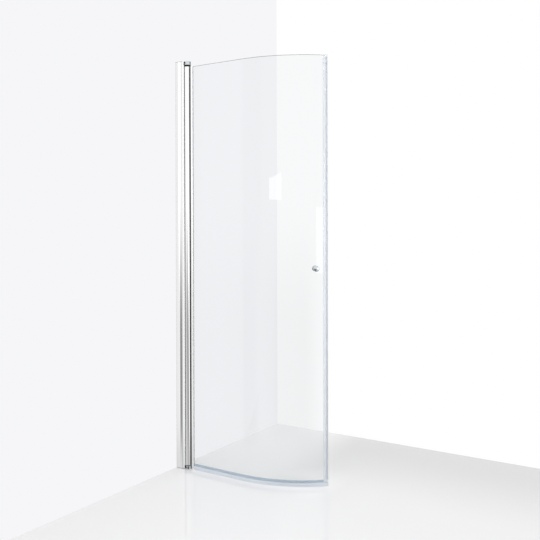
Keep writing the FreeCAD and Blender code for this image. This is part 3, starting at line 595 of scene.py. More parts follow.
def aluminium(finishes):
    """Bright extruded aluminium: drawing lines along its length, and a thin anodised haze. The face
    against the wall is left unpolished."""
    material, graph = new_material("bright_aluminium")
    if graph:
        lines = graph.noise(1.0, 3.0, 0.6, graph.stretched(2600, 2600, 3))
        haze = graph.noise(9.0, 3.0, 0.6, graph.stretched(1, 1, 0.25))
        tone = graph.mix(haze, shade(finishes.aluminium, 0.97), shade(finishes.aluminium, 1.03))
        parts = graph.node("ShaderNodeSeparateXYZ", None, {"Vector": graph.place()})
        polished = parts.out("X").ramp(0.0001, 0.0004)
        graph.output(
            Surface=principled(
                graph,
                base_color=tone,
                metallic=0.2 + polished * 0.8,
                roughness=0.55 - polished * 0.5 + haze * 0.04 + lines * 0.04,
                normal=graph.bump(lines, 0.06, 0.00004),
            )
        )
    return material


def chrome(finishes):
    """Plated zinc: almost a mirror, with a trace of casting waviness and dried drops."""
    material, graph = new_material("chrome_plate")
    if graph:
        wave = graph.noise(140.0, 1.0, 0.4)
        film = graph.noise(60.0, 4.0, 0.65)
        spots = graph.noise(420.0, 2.0, 0.5).ramp(0.62, 0.72)
        tone = graph.mix(film, shade(finishes.chrome, 0.97), shade(finishes.chrome, 1.02))
        graph.output(
            Surface=principled(
                graph,
                base_color=tone,
                metallic=1.0,
                roughness=0.035 + film * 0.05 + spots * 0.08,
                normal=graph.bump(wave, 0.05, 0.0002),
            )
        )
    return material


def steel(rgb, name="turned_steel"):
    """Turned steel, with the marks of the tool."""
    material, graph = new_material(name)
    if graph:
        marks = graph.noise(1.0, 2.0, 0.5, graph.stretched(300, 300, 5200))
        stain = graph.noise(220.0, 3.0, 0.6)
        tone = graph.mix(stain, shade(rgb, 0.82), shade(rgb, 1.1))
        graph.output(
            Surface=principled(
                graph,
                base_color=tone,
                metallic=1.0,
                roughness=0.24 + stain * 0.14,
                normal=graph.bump(marks, 0.2, 0.00005),
            )
        )
    return material


def moulded(name, rgb, roughness, grain=1500.0, depth=0.15, shine=0.5):
    """Moulded plastic: fine spark-eroded grain, and a tone that drifts a little."""
    material, graph = new_material(name)
    if graph:
        fine = graph.noise(grain, 2.0, 0.55)
        drift = graph.noise(35.0, 3.0, 0.6)
        graph.output(
            Surface=principled(
                graph,
                base_color=graph.mix(drift, shade(rgb, 0.93), shade(rgb, 1.05)),
                roughness=roughness + fine * 0.1,
                normal=graph.bump(fine, depth, 0.00008),
                specular_ior_level=shine,
            )
        )
    return material


def soft_strip(name, rgb):
    """Soft extruded strip: matt, with faint lines along its length."""
    material, graph = new_material(name)
    if graph:
        lines = graph.noise(1.0, 2.0, 0.5, graph.stretched(1500, 1500, 2))
        dust = graph.noise(260.0, 3.0, 0.6)
        graph.output(
            Surface=principled(
                graph,
                base_color=graph.mix(dust, shade(rgb, 0.95), shade(rgb, 1.03)),
                roughness=0.45 + dust * 0.15,
                normal=graph.bump(lines, 0.12, 0.0001),
            )
        )
    return material


def clear_plastic(finishes, name="clear_seal_plastic", clip_from=None):
    """Clear seal plastic: bluish, a little milky, with faint extrusion lines. Above the level
    clip_from a seal is painted darker, as painted shade of its clip round the glass."""
    material, graph = new_material(name)
    if graph:
        lines = graph.noise(1.0, 2.0, 0.5, graph.stretched(900, 900, 4))
        milk = graph.noise(40.0, 3.0, 0.6)
        rgb = finishes.seal_lip if clip_from else finishes.clear_seal
        tone = graph.mix(milk, shade(rgb, 0.96), shade(rgb, 1.04))
        if clip_from:
            height = graph.node("ShaderNodeSeparateXYZ", None, {"Vector": graph.place()}).out("Z")
            # Painted shade: above clip_from the seal takes the darker clip colour.
            painted_clip_shade = height.ramp(clip_from - 0.0004, clip_from + 0.0004)
            tone = graph.mix(painted_clip_shade, tone, shade(finishes.shaded_seal_clip))
        graph.output(
            Surface=principled(
                graph,
                base_color=tone,
                roughness=0.16 + milk * 0.1,
                normal=graph.bump(lines, 0.08, 0.0001),
                ior=1.5,
                transmission_weight=0.8,
            )
        )
    return material


def glass(finishes, name="toughened_glass", roughness=0.0):
    """Toughened glass. The tint comes from how far the light travels in it."""
    material, graph = new_material(name)
    if graph:
        roll = graph.noise(3.0, 1.0, 0.3, graph.stretched(1, 1, 0.4))
        specks = graph.noise(900.0, 2.0, 0.5)
        absorption = graph.node(
            "ShaderNodeVolumeAbsorption",
            None,
            {"Color": shade(finishes.glass), "Density": 60.0},
        )
        values = {"roughness": roughness + specks * 0.12} if roughness else {"roughness": 0.0}
        graph.output(
            Surface=principled(
                graph,
                base_color=shade((1.0, 1.0, 1.0)),
                normal=graph.bump(specks if roughness else roll, 0.02, 0.0004),
                ior=1.5,
                transmission_weight=1.0,
                **values,
            ),
            Volume=absorption.out(),
        )
    return material


# Operators: one for each piece or group of like pieces.


def settings_of(context):
    scene = context.scene
    return Millimetres(scene.door_sizes), scene.door_finishes, scene.door_studio


class SHOWERDOOR_OT_studio(bpy.types.Operator):
    """Set up the floor, the two walls, the soft light and the camera"""

    bl_idname = "showerdoor.studio"
    bl_label = "Studio"

    def execute(self, context):
        studio = settings_of(context)[2]
        self.add_floor(studio)
        reach = studio.back_wall_reach
        self.add_wall("side_wall", studio.side_wall, (0, -0.8 + reach / 2, 1.6), (0, 90, 0), studio)
        self.add_wall("back_wall", studio.back_wall, (1.6, reach, 1.6), (90, 0, 0), studio)
        self.light_world(studio)
        self.add_lamps(studio)
        self.add_camera(studio)
        context.scene.view_settings.view_transform = "Standard"
        return {"FINISHED"}

    def add_plane(self, name, location, rotation, across, up):
        bpy.ops.object.select_all(action="DESELECT")
        bpy.ops.mesh.primitive_plane_add(
            size=1, location=location, rotation=[math.radians(part) for part in rotation]
        )
        plane = bpy.context.active_object
        plane.name = name
        plane.scale = (across, up, 1)
        bpy.ops.object.transform_apply(location=True, rotation=True, scale=True)
        return plane

    def seen(self, graph):
        """1 for rays from the camera, from mirrors and through glass."""
        path = graph.node("ShaderNodeLightPath")
        camera = path.out("Is Camera Ray")
        return camera.larger(path.out("Is Glossy Ray")).larger(path.out("Is Transmission Ray"))

    def mirrored(self, graph, times=1):
        """1 for rays that a polished surface has turned back, so many times or more."""
        path = graph.node("ShaderNodeLightPath")
        return path.out("Glossy Depth").math("GREATER_THAN", times - 0.5)

    def add_floor(self, studio):
        material, graph = new_material("pale_floor")
        cloud = graph.noise(1.4, 2.0, 0.5)
        parts = graph.node("ShaderNodeSeparateXYZ", None, {"Vector": graph.place()})
        # Painted light and shade: painted shade darkens the floor by the back wall, and painted light
        # makes it palest at the front and behind the glass, against the pane's shade.
        corner = parts.out("Y").ramp(0.05, 0.75) * parts.out("X").ramp(0.1, 0.6)
        close = (1 - parts.out("Y").ramp(0.12, 0.4)) * (1 - parts.out("X").ramp(0.66, 0.8))
        behind = (1 - parts.out("X").ramp(0.35, 0.6)).larger(close)
        behind = behind * parts.out("Y").ramp(-0.06, 0.1)
        # Painted light: the floor is painted lighter towards +X.
        light = 0.56 + cloud * 0.02 + parts.out("X").ramp(0.1, 0.9) * 0.15
        light = light - corner * 0.71 + behind * 0.52
        # Lit and shaded copies of the floor colour, mixed by the painted light.
        surface = principled(
            graph,
            base_color=graph.mix(light, shade(studio.floor, 0.86), shade(studio.floor, 1.12)),
            roughness=0.03 + cloud * 0.03,
        )
        clear = graph.node("ShaderNodeBsdfTransparent").out()
        graph.output(Surface=graph.blend(self.mirrored(graph), surface, clear))
        floor = self.add_plane("floor", (0.4, -0.6, 0), (0, 0, 0), 9, 9)
        floor.data.materials.append(material)

    def add_wall(self, name, rgb, location, rotation, studio):
        """A wall that gives light, and is only there from its own room's side."""
        material, graph = new_material(name)
        strength = self.seen(graph) * (1 - studio.room_light) + studio.room_light
        emission = graph.node("ShaderNodeEmission", None, {"Color": shade(rgb), "Strength": strength})
        behind = graph.node("ShaderNodeNewGeometry").out("Backfacing")
        clear = graph.node("ShaderNodeBsdfTransparent").out()
        graph.output(Surface=graph.blend(behind, emission.out(), clear))
        wall = self.add_plane(name, location, rotation, 3.2, 3.2)
        wall.data.materials.append(material)
        wall.visible_shadow = False
        wall.visible_glossy = False

    def light_world(self, studio):
        world = bpy.data.worlds.new("studio")
        bpy.context.scene.world = world
        graph = Graph(world)
        path = graph.node("ShaderNodeLightPath")
        direction = graph.node("ShaderNodeTexCoord").out("Generated")
        parts = graph.node("ShaderNodeSeparateXYZ", None, {"Vector": direction})
        x, y, z = (parts.out(axis) for axis in "XYZ")
        # What polished surfaces see: bearings in degrees, from -Y towards +X, and heights as sines.
        bearing = x.math("ARCTAN2", y * -1) * (180 / math.pi)
        high = graph.curve(
            bearing,
            (-56, 0.92),
            (-50, 0.89),
            (-43, 0.92),
            (-39.5, 1.0),
            (-38, 1.5),
            (-34.5, 1.5),
            (-32, 1.06),
            (-24, 1.05),
            (-13, 0.97),
            (-8, 1.1),
        )
        low = graph.curve(
            bearing,
            (-45, 0.88),
            (-36, 1.0),
            (-31, 0.28),
            (-20, 0.28),
            (-12, 0.8),
            (0, 0.65),
            (10, 0.3),
            (38, 0.2),
            (52, 0.85),
            (80, 1.1),
        )
        near = graph.curve(bearing, (-24, 0.74), (-8, 0.57))
        level = z.ramp(-0.15, 0.05)
        shown = high * level + low * (1 - level)
        shown = shown + (near - shown) * (1 - z.ramp(-0.31, -0.26))
        # Below that lies the floor, with a dark patch in front and a dark spot underneath.
        deep = 1 - z.ramp(-0.48, -0.36)
        shown = shown + (0.8 - shown) * deep
        shown = shown * (1 - bearing.band(0, 42, 6) * z.band(-0.8, -0.34, 0.05) * 0.95)
        shown = shown * (1 - (1 - z.ramp(-0.93, -0.86)) * 0.95)
        shown = shown * (1 - bearing.band(-118, -60, 3) * 0.98)
        shown = shown * (1 - bearing.band(117, 172, 4) * 0.75)
        pane = z.band(0.036, bearing * 0.0005 + 0.0665, 0.001)
        shown = shown + bearing.band(-1.7, 11.6, 0.3) * pane * 1.5
        shown = shown + bearing.band(49, 57.6, 0.4) * z.band(-0.066, 0.026, 0.001) * 0.8
        shown = shown + bearing.band(58.2, 63, 0.5) * z.band(-0.1, 0.08, 0.08) * 2.4
        # Grooves are dark. What the floor shows rises steeply, and stays light.
        groove = self.mirrored(graph, times=2) * (1 - z.ramp(0.22, 0.27))
        shown = shown * (1 - groove * 0.93)
        mirrored = self.mirrored(graph)
        plain = path.out("Is Camera Ray").larger(path.out("Is Transmission Ray")) * (1 - mirrored)
        strength = plain * 0.97 + (1 - plain) * (
            mirrored * shown + (1 - mirrored) * studio.room_light
        )
        background = graph.node(
            "ShaderNodeBackground", None, {"Color": (1, 1, 1, 1), "Strength": strength}
        )
        graph.node("ShaderNodeOutputWorld", None, {"Surface": background.out()})

    def add_lamps(self, studio):
        """Large soft lamps: from the front right, from the front left and from above."""
        for name, place, size, power in (
            ("front_lamp", (2.6, -2.4, 2.6), 2.4, 16),
            ("side_lamp", (0.9, -3.2, 1.4), 1.8, 8),
            ("top_lamp", (0.9, -0.4, 3.4), 2.2, 10),
        ):
            bpy.ops.object.light_add(type="AREA", location=place)
            lamp = bpy.context.active_object
            lamp.name = name
            lamp.data.size = size
            lamp.data.energy = power * studio.lamp_light
            aim = Vector((0.4, 0.0, 0.9)) - Vector(place)
            lamp.rotation_euler = aim.to_track_quat("-Z", "Y").to_euler()
            lamp.visible_glossy = False
            lamp.visible_camera = False
            lamp.visible_transmission = False

    def add_camera(self, studio):
        """The photograph's place, direction and framing."""
        bpy.ops.object.camera_add()
        camera = bpy.context.active_object
        right = Vector((0.84009, 0.54244, -0.00252))
        ahead = Vector((-0.54245, 0.84006, -0.00753))
        upwards = right.cross(ahead).normalized()
        turned = Matrix((right, upwards, -ahead)).transposed().to_4x4()
        camera.matrix_world = Matrix.Translation((2.20683, -2.62187, 1.13438)) @ turned
        camera.data.lens = studio.lens * 1000
        camera.data.sensor_width = 36
        camera.data.shift_y = -0.0721
        camera.data.clip_start = 0.01
        bpy.context.scene.camera = camera


def channel_corners(size, *inner):
    """Outer outline of the wall channel, with its bowed sides. Inner corners hollow it."""
    depth, half, bulge = size.channel_depth, size.channel_half, size.channel_bulge
    bow = (depth**2 / 4 + bulge**2) / (2 * bulge)
    return ((0, -half, bow), (depth, -half), *inner, (depth, half, bow), (0, half))


class SHOWERDOOR_OT_wall_channel(bpy.types.Operator):
    """Model the bowed wall channel with its screw holes"""

    bl_idname = "showerdoor.wall_channel"
    bl_label = "Wall channel"

    def execute(self, context):
        size, finishes, _ = settings_of(context)
        depth, inner, base = size.channel_depth, size.channel_inner, 2.0
        bench = Bench("wall_channel_extrusion")
        hollow = ((depth, -inner), (base, -inner), (base, inner), (depth, inner))
        bench.outline(plan(size.cap_thickness), *channel_corners(size, *hollow), step=1.0)
        bench.pull(0, 0, HEIGHT - 2 * size.cap_thickness)
        bench.bevel(
            0.3,
            lambda edge: abs(edge.verts[0].co.z - edge.verts[1].co.z) > 1
            and all(abs(vert.co.x * 1000 - depth) < 0.01 for vert in edge.verts),
        )
        channel = bench.close()
        seat = size.channel_crown - 1.6
        tool = Bench("channel_holes")
        for level in (120.0, 2020 / 3, 3680 / 3, 1780.0):
            tool.drill(3.25, (-1, 0, level), (base + 1, 0, level))
        for level in LOCK_LEVELS:
            tool.drill(5.45, (depth - 10, seat, level), (depth - 10, seat + 4, level))
            tool.drill(2.3, (depth - 10, inner - 1, level), (depth - 10, seat + 1, level))
        boolean(channel, tool.close(), "DIFFERENCE")
        metal = aluminium(finishes)
        fit(channel, "wall_frame", "polished_aluminium", metal, "wall_channel")
        channel.visible_glossy = False
        return {"FINISHED"}


class SHOWERDOOR_OT_channel_caps(bpy.types.Operator):
    """Model the two end caps of the channel and the caps over its locking screws"""

    bl_idname = "showerdoor.channel_caps"
    bl_label = "Channel caps"

    def execute(self, context):
        size, finishes, _ = settings_of(context)
        plastic = moulded("grey_end_cap", finishes.grey_plastic, 0.34)
        thick = size.cap_thickness
        for name, low, tab_low, outer in (
            ("channel_top_cap", HEIGHT - thick, HEIGHT - thick - 9, HEIGHT),
            ("channel_bottom_cap", 0, thick, 0),
        ):
            bench = Bench(name + "_moulding")
            bench.outline(plan(low), *channel_corners(size), step=1.5)
            bench.pull(0, 0, thick)
            bench.bevel(
                0.5,
                lambda edge: all(
                    abs(vert.co.z * 1000 - outer) < 0.01 and vert.co.x > 1e-4
                    for vert in edge.verts
                ),
            )
            cap = bench.close()
            tab = Bench("tab")
            half = size.channel_inner - 0.4
            corners = ((2.05, -half), (3.25, -half), (3.25, half), (2.05, half))
            inside = 1.0 if outer else -1.0
            tab.outline(plan(tab_low if outer else tab_low - 1), *corners)
            tab.pull(0, 0, 9 + abs(inside))
            boolean(cap, tab.close(), "UNION")
            fit(cap, "wall_frame", "grey_plastic", plastic, name)
        self.add_screw_caps(size, plastic)
        return {"FINISHED"}

    def add_screw_caps(self, size, plastic):
        seat = size.channel_crown - 1.6
        foot, ceiling, face = seat + 0.05, seat + 2.5, seat + 3.7
        bench = Bench("locking_screw_cap_1")
        plane = turning_plane((size.channel_depth - 10, 0, LOCK_LEVELS[0]), (0, 1, 0))
        bench.turn(
            plane,
            (0, ceiling),
            (4.1, ceiling),
            (4.1, foot),
            (5.3, foot),
            (5.3, face - 0.8, 0.8),
            (4.5, face),
            (0, face),
            steps=48,
        )
        first = bench.close()
        fit(first, "wall_frame", "grey_plastic", plastic, "locking_screw_caps")
        for number, level in enumerate(LOCK_LEVELS[1:], start=2):
            twin = copied(first, f"locking_screw_cap_{number}", (0, 0, level - LOCK_LEVELS[0]))
            fit(twin, "wall_frame", "grey_plastic", plastic, "locking_screw_caps")


class SHOWERDOOR_OT_cradle_seals(bpy.types.Operator):
    """Model the soft strips in the horns of the adjusting profile"""

    bl_idname = "showerdoor.cradle_seals"
    bl_label = "Cradle seals"

    def execute(self, context):
        size, finishes, _ = settings_of(context)
        strip = soft_strip("white_strip", finishes.white_seal)
        outer = size.channel_inner - 0.4
        reach = size.tube_radius + 0.4
        cradle = size.tube_radius + 0.8
        edge = cradle * math.sin(math.radians(51.3))
        base = -cradle * math.cos(math.radians(51.3))
        middle = (edge + outer) / 2
        front = base + 1.8
        for name, side in (("outer_cradle_seal", -1), ("inner_cradle_seal", 1)):
            bench = Bench(name + "_strip")
            bench.outline(
                plan(BOSS_HEIGHT, x=size.pivot_reach),
                (base - 1.95, side * (middle - 0.7)),
                (base, side * (middle - 0.7)),
                (base, side * math.sqrt(reach**2 - base**2), side * reach),
                (front, side * math.sqrt(reach**2 - front**2)),
                (front, side * (outer - 2.0), -side * 2.0),
                (base, side * outer),
                (base, side * (middle + 0.7)),
                (base - 1.95, side * (middle + 0.7)),
                step=12,
            )
            bench.pull(0, 0, TOP_BOSS_LOW - BOSS_HEIGHT)
            seal = fit(bench.close(), "adjuster", "white_seal", strip, name)
            seal.visible_glossy = False
        return {"FINISHED"}


class SHOWERDOOR_OT_pivot_brackets(bpy.types.Operator):
    """Model the chrome caps that hold the pivot pins, above and below the tube"""

    bl_idname = "showerdoor.pivot_brackets"
    bl_label = "Pivot brackets"

    def execute(self, context):
        size, finishes, _ = settings_of(context)
        metal = chrome(finishes)
        arm_high = HEIGHT - size.cap_thickness - 0.3
        arm_low = size.cap_thickness + 0.3
        for name, low, arm, outer in (
            ("top_pivot_bracket", TOP_BOSS_LOW, (TOP_BOSS_LOW, arm_high), 1),
            ("bottom_pivot_bracket", 0.0, (arm_low, BOSS_HEIGHT), -1),
        ):
            bracket = self.boss(size, name, low, outer)
            boolean(bracket, self.arm(size, *arm), "UNION")
            boolean(bracket, self.holes(size, low, arm, outer), "DIFFERENCE")
            fit(bracket, "adjuster", "chrome", metal, name)
        return {"FINISHED"}

    def boss(self, size, name, low, outer):
        bench = Bench(name + "_casting")
        radius = size.tube_radius
        bench.outline(
            plan(low, x=size.pivot_reach), (-radius, 0, radius), (radius, 0, radius), step=4
        )
        bench.pull(0, 0, BOSS_HEIGHT)
        face = low + BOSS_HEIGHT if outer > 0 else low
        bench.bevel(
            1.2,
            lambda edge: all(abs(vert.co.z * 1000 - face) < 0.01 for vert in edge.verts),
            segments=5,
        )
        return bench.close()

    def arm(self, size, low, high):
        bench = Bench("arm")
        half = size.channel_inner - 5.0
        back, front = 8.4, size.pivot_reach - 4
        bench.outline(plan(low), (back, -half), (front, -half), (front, half), (back, half))
        bench.pull(0, 0, high - low)
        return bench.close()

    def holes(self, size, low, arm, outer):
        tool = Bench("bores")
        axis = size.pivot_reach
        tool.drill(4.02, (axis, 0, low - 1), (axis, 0, low + BOSS_HEIGHT + 1))
        face = arm[1] if outer > 0 else arm[0]
        for x in (15.8, 36.2):
            tool.drill(2.4, (x, 0, arm[0] - 1), (x, 0, arm[1] + 1))
            tool.drill(4.3, (x, 0, face - outer * 2.9), (x, 0, face + outer))
        level = low + BOSS_HEIGHT / 2
        turned = math.radians(10)
        away = Vector((-math.sin(turned), -math.cos(turned), 0)) * (size.tube_radius + 2)
        tool.drill(3.05, (axis, 0, level), (axis + away.x, away.y, level))
        bores = tool.close()
        # The spot face round the grub screw's hole overlaps it, so it is joined on first.
        seat = Bench("spot_face")
        away = Matrix.Rotation(math.radians(-3), 3, "Z") @ away
        inwards = away * ((size.tube_radius - 1.2) / (size.tube_radius + 2))
        seat.drill(5.0, (axis + inwards.x, inwards.y, level), (axis + away.x, away.y, level))
        boolean(bores, seat.close(), "UNION")
        return bores


class SHOWERDOOR_OT_bushes(bpy.types.Operator):
    """Model the black bearing bushes in the ends of the tube"""

    bl_idname = "showerdoor.bushes"
    bl_label = "Bearing bushes"

    def execute(self, context):
        size, finishes, _ = settings_of(context)
        plastic = moulded("black_bush", finishes.black_plastic, 0.6, shine=0.2)
        flange, spigot, bore = size.tube_radius - 0.8, size.tube_radius - 2.05, 4.05
        for name, seat, up, thick, spigot_end in (
            ("top_bush", TUBE_HIGH - RING_SHOWN, 1, 5.0 + RING_SHOWN, TUBE_HIGH - 22),
            ("bottom_bush", TUBE_LOW, -1, 1.5, TUBE_LOW + 22),
        ):
            bench = Bench(name + "_moulding")
            end, inner = seat + up * thick, spigot_end
            bench.turn(
                turning_plane((size.pivot_reach, 0, 0), UP),
                (bore, end),
                (flange - 0.4, end),
                (flange, end - up * 0.4),
                (flange, seat),
                (spigot, seat),
                (spigot, inner + up),
                (spigot - 0.6, inner),
                (bore, inner),
                closed=True,
            )
            fit(bench.close(), "leaf", "black_plastic", plastic, name)
        return {"FINISHED"}


class SHOWERDOOR_OT_pivot_tube(bpy.types.Operator):
    """Model the tube with its jaws for the glass"""

    bl_idname = "showerdoor.pivot_tube"
    bl_label = "Pivot tube"

    def execute(self, context):
        size, finishes, _ = settings_of(context)
        radius, jaw, reach = size.tube_radius, size.jaw_half, size.jaw_reach
        slot, floor, rounding = size.glass_half + 1.9, radius + 1.2, 1.0
        # The jaws leave the tube narrower than they end, at a slope, with a rounded bend.
        narrow, slope, bend = slot + 0.05, math.radians(12), 5.0
        neck = math.sqrt(radius**2 - narrow**2)
        bend_start = bend * (1 - math.cos(slope)) - jaw
        run = neck - (bend_start + narrow) / math.tan(slope)
        flat = run + bend * math.sin(slope)
        bench = Bench("pivot_tube_extrusion")
        plane = plan(TUBE_LOW, x=size.pivot_reach)
        bench.outline(
            plane,
            (neck, -narrow),
            (run, bend_start, bend),
            (flat, -jaw),
            (reach - rounding, -jaw, rounding),
            (reach, rounding - jaw),
            (reach, -slot),
            (floor, -slot),
            (floor, slot),
            (reach, slot),
            (reach, jaw - rounding, rounding),
            (reach - rounding, jaw),
            (flat, jaw, bend),
            (run, -bend_start),
            (neck, narrow, radius),
            (0, radius, radius),
            (-radius, 0, radius),
            (0, -radius, radius),
            fill=False,
        )
        hollow = radius - size.tube_wall
        bench.outline(plane, (-hollow, 0, hollow), (hollow, 0, hollow), fill=False)
        bpy.ops.mesh.select_all(action="SELECT")
        bpy.ops.mesh.fill()
        bench.pull(0, 0, TUBE_HIGH - RING_SHOWN - TUBE_LOW)
        fit(bench.close(), "leaf", "polished_aluminium", aluminium(finishes), "pivot_tube")
        return {"FINISHED"}


class SHOWERDOOR_OT_gaskets(bpy.types.Operator):
    """Model the strips that grip the glass in the tube's jaws"""

    bl_idname = "showerdoor.gaskets"
    bl_label = "Glazing gaskets"

    def execute(self, context):
        size, finishes, _ = settings_of(context)
        strip = soft_strip("white_strip", finishes.white_seal)
        back, tip = size.tube_radius + 1.25, size.jaw_reach + 1.5
        near, far = size.glass_half + 0.05, size.glass_half + 1.85
        heel = size.jaw_reach + 0.05
        for name, side in (("outer_glazing_gasket", -1), ("inner_glazing_gasket", 1)):
            bench = Bench(name + "_strip")
            bench.outline(
                plan(TUBE_LOW, x=size.pivot_reach),
                (back, side * near),
                (tip - 0.4, side * near, side * 0.4),
                (tip, side * (near + 0.4)),
                (tip, side * far),
                (heel, side * (far + 1.25)),
                (heel, side * far),
                (back, side * far),
                step=20,
            )
            bench.pull(0, 0, GLASS_HIGH - TUBE_LOW)
            fit(bench.close(), "leaf", "white_seal", strip, name)
        return {"FINISHED"}


class SHOWERDOOR_OT_glass(bpy.types.Operator):
    """Model the curved pane with ground edges and the hole for the knobs"""

    bl_idname = "showerdoor.glass"
    bl_label = "Glass pane"

    def execute(self, context):
        size, finishes, _ = settings_of(context)
        half, arris = size.glass_half, size.glass_arris
        start = size.pivot_reach + size.tube_radius + 3.0
        inner = half - arris
        bench = Bench("curved_glass_pane")
        bench.outline(
            cross_section(start),
            (-half, GLASS_LOW + arris),
            (-inner, GLASS_LOW),
            (inner, GLASS_LOW),
            (half, GLASS_LOW + arris),
            (half, GLASS_HIGH - arris),
            (inner, GLASS_HIGH),
            (-inner, GLASS_HIGH),
            (-half, GLASS_HIGH - arris),
        )
        bench.pull(size.curve_start - start, 0, 0)
        bench.spin((size.curve_start, size.curve_radius, 0), UP, size.glass_turn, 64)
        bench.heal()
        for level in (size.knob_height - 16, size.knob_height + 16):
            bench.slice(level)
        pane = bench.close()
        turn = size.curve_angle - size.turn_of(54)
        x, y = size.on_curve(turn)
        away = Matrix.Rotation(math.radians(turn), 3, "Z") @ Vector((0, 1, 0)) * 12
        tool = Bench("glass_hole")
        middle = Vector((x, y, size.knob_height))
        tool.drill(6.0, middle - away, middle + away, vertices=48)
        boolean(pane, tool.close(), "DIFFERENCE")
        fit(pane, "leaf", "clear_glass", glass(finishes), "glass_panel")
        pane.data.materials.append(glass(finishes, "ground_glass_edge", 0.12))
        for face in pane.data.polygons:
            end = abs(face.center.x * 1000 - start) < 0.1
            if abs(face.normal.z) > 0.4 or end:
                face.material_index = 1
        pane.visible_shadow = False
        return {"FINISHED"}


class SHOWERDOOR_OT_bottom_seal(bpy.types.Operator):
    """Model the clip-on seal under the glass, with its wiping lip"""

    bl_idname = "showerdoor.bottom_seal"
    bl_label = "Bottom seal"

    def execute(self, context):
        size, finishes, _ = settings_of(context)
        inner, outer = size.clip_inner, size.clip_outer
        top, low = GLASS_LOW - 0.3, GLASS_LOW - 2.6
        clip = GLASS_LOW + 8.7
        start = size.pivot_reach + size.jaw_reach + 1.8
        clip_turn = size.glass_turn - size.turn_of(EDGE_OVERLAP + 0.3)
        centre = (size.curve_start, size.curve_radius, 0)
        bench = Bench("bottom_seal_extrusion")
        bench.outline(
            cross_section(start),
            (-outer, low),
            (1.2 - outer, 0.8),
            (2.2 - outer, 0.8),
            (1.7 - outer, low),
            (outer, low),
            (outer, clip),
            (inner, clip),
            (inner, top),
            (-inner, top),
            (-inner, clip),
            (-outer, clip),
        )
        bench.pull(size.curve_start - start, 0, 0)
        bench.spin(centre, UP, clip_turn, 48)
        bench.heal()
        bench.slice(top)
        bench.heal()
        end = Matrix.Rotation(math.radians(clip_turn), 3, "Z") @ Vector((1, 0, 0))
        bench.pick(
            "FACE",
            lambda face: face.normal.dot(end) > 0.999 and face.calc_center_median().z < top / 1000,
        )
        bench.spin(centre, UP, size.curve_angle - clip_turn, 3)
        seal = bench.close()
        plastic = clear_plastic(finishes, "bottom_seal_plastic", low / 1000)
        fit(seal, "leaf", "clear_seal", plastic, "bottom_seal")
        seal.visible_shadow = False
        return {"FINISHED"}


class SHOWERDOOR_OT_edge_seal(bpy.types.Operator):
    """Model the seal on the closing edge and the magnet strip inside it"""

    bl_idname = "showerdoor.edge_seal"
    bl_label = "Edge seal and magnet"

    def execute(self, context):
        size, finishes, _ = settings_of(context)
        inner, outer, rounding, gap = size.clip_inner, size.clip_outer, 1.5, 0.3
        low, high = GLASS_LOW, GLASS_HIGH + 2.8
        x, y = size.on_curve(size.glass_turn)
        plane = plan(low, x=x, y=y, turn=size.glass_turn)
        chamber = (gap + size.seal_wall, EDGE_REACH - size.seal_wall)
        bench = Bench("edge_seal_extrusion")
        bench.outline(
            plane,
            (-EDGE_OVERLAP, -outer),
            (EDGE_REACH - rounding, -outer, rounding),
            (EDGE_REACH, rounding - outer),
            (EDGE_REACH, outer - rounding, rounding),
            (EDGE_REACH - rounding, outer),
            (-EDGE_OVERLAP, outer),
            (-EDGE_OVERLAP, inner),
            (gap, inner),
            (gap, -inner),
            (-EDGE_OVERLAP, -inner),
            fill=False,
            step=18,
        )
        bench.outline(
            plane,
            (chamber[0], -inner),
            (chamber[1], -inner),
            (chamber[1], inner),
            (chamber[0], inner),
            fill=False,
        )
        bpy.ops.mesh.select_all(action="SELECT")
        bpy.ops.mesh.fill()
        bench.pull(0, 0, high - low)
        seal = bench.close()
        boolean(seal, self.corner(plane, outer), "DIFFERENCE")
        fit(seal, "leaf", "clear_seal", clear_plastic(finishes), "edge_seal")
        seal.visible_shadow = False

        strip = Bench("magnet_strip_extrusion")
        back, front, half = chamber[0] + 0.1, chamber[1] - 0.1, inner - 0.1
        strip.outline(
            plan(low + 9, x=x, y=y, turn=size.glass_turn),
            (back, -half),
            (front, -half),
            (front, half),
            (back, half),
        )
        strip.pull(0, 0, high - low - 18)
        strip.bevel(0.4, lambda edge: abs(edge.verts[0].co.z - edge.verts[1].co.z) > 1)
        ferrite = moulded("magnet_strip", finishes.magnet, 0.5, grain=900.0, depth=0.3)
        fit(strip.close(), "leaf", "magnet", ferrite, "magnet_strip")
        return {"FINISHED"}

    def corner(self, plane, outer):
        """What is cut away at the lower outer corner."""
        reach = 8.0
        upright = plane @ Matrix.Rotation(math.radians(90), 4, "X")
        upright = upright @ Matrix.Translation((0, 0, -outer - 1))
        bench = Bench("corner")
        bench.outline(
            upright,
            (EDGE_REACH + 1, -1),
            (EDGE_REACH + 1, reach),
            (EDGE_REACH, reach, -reach),
            (EDGE_REACH - reach, 0),
            (EDGE_REACH - reach, -1),
            step=8,
        )
        shift = upright.to_3x3() @ UP * (2 * outer + 2)
        bench.pull(*shift)
        return bench.close()


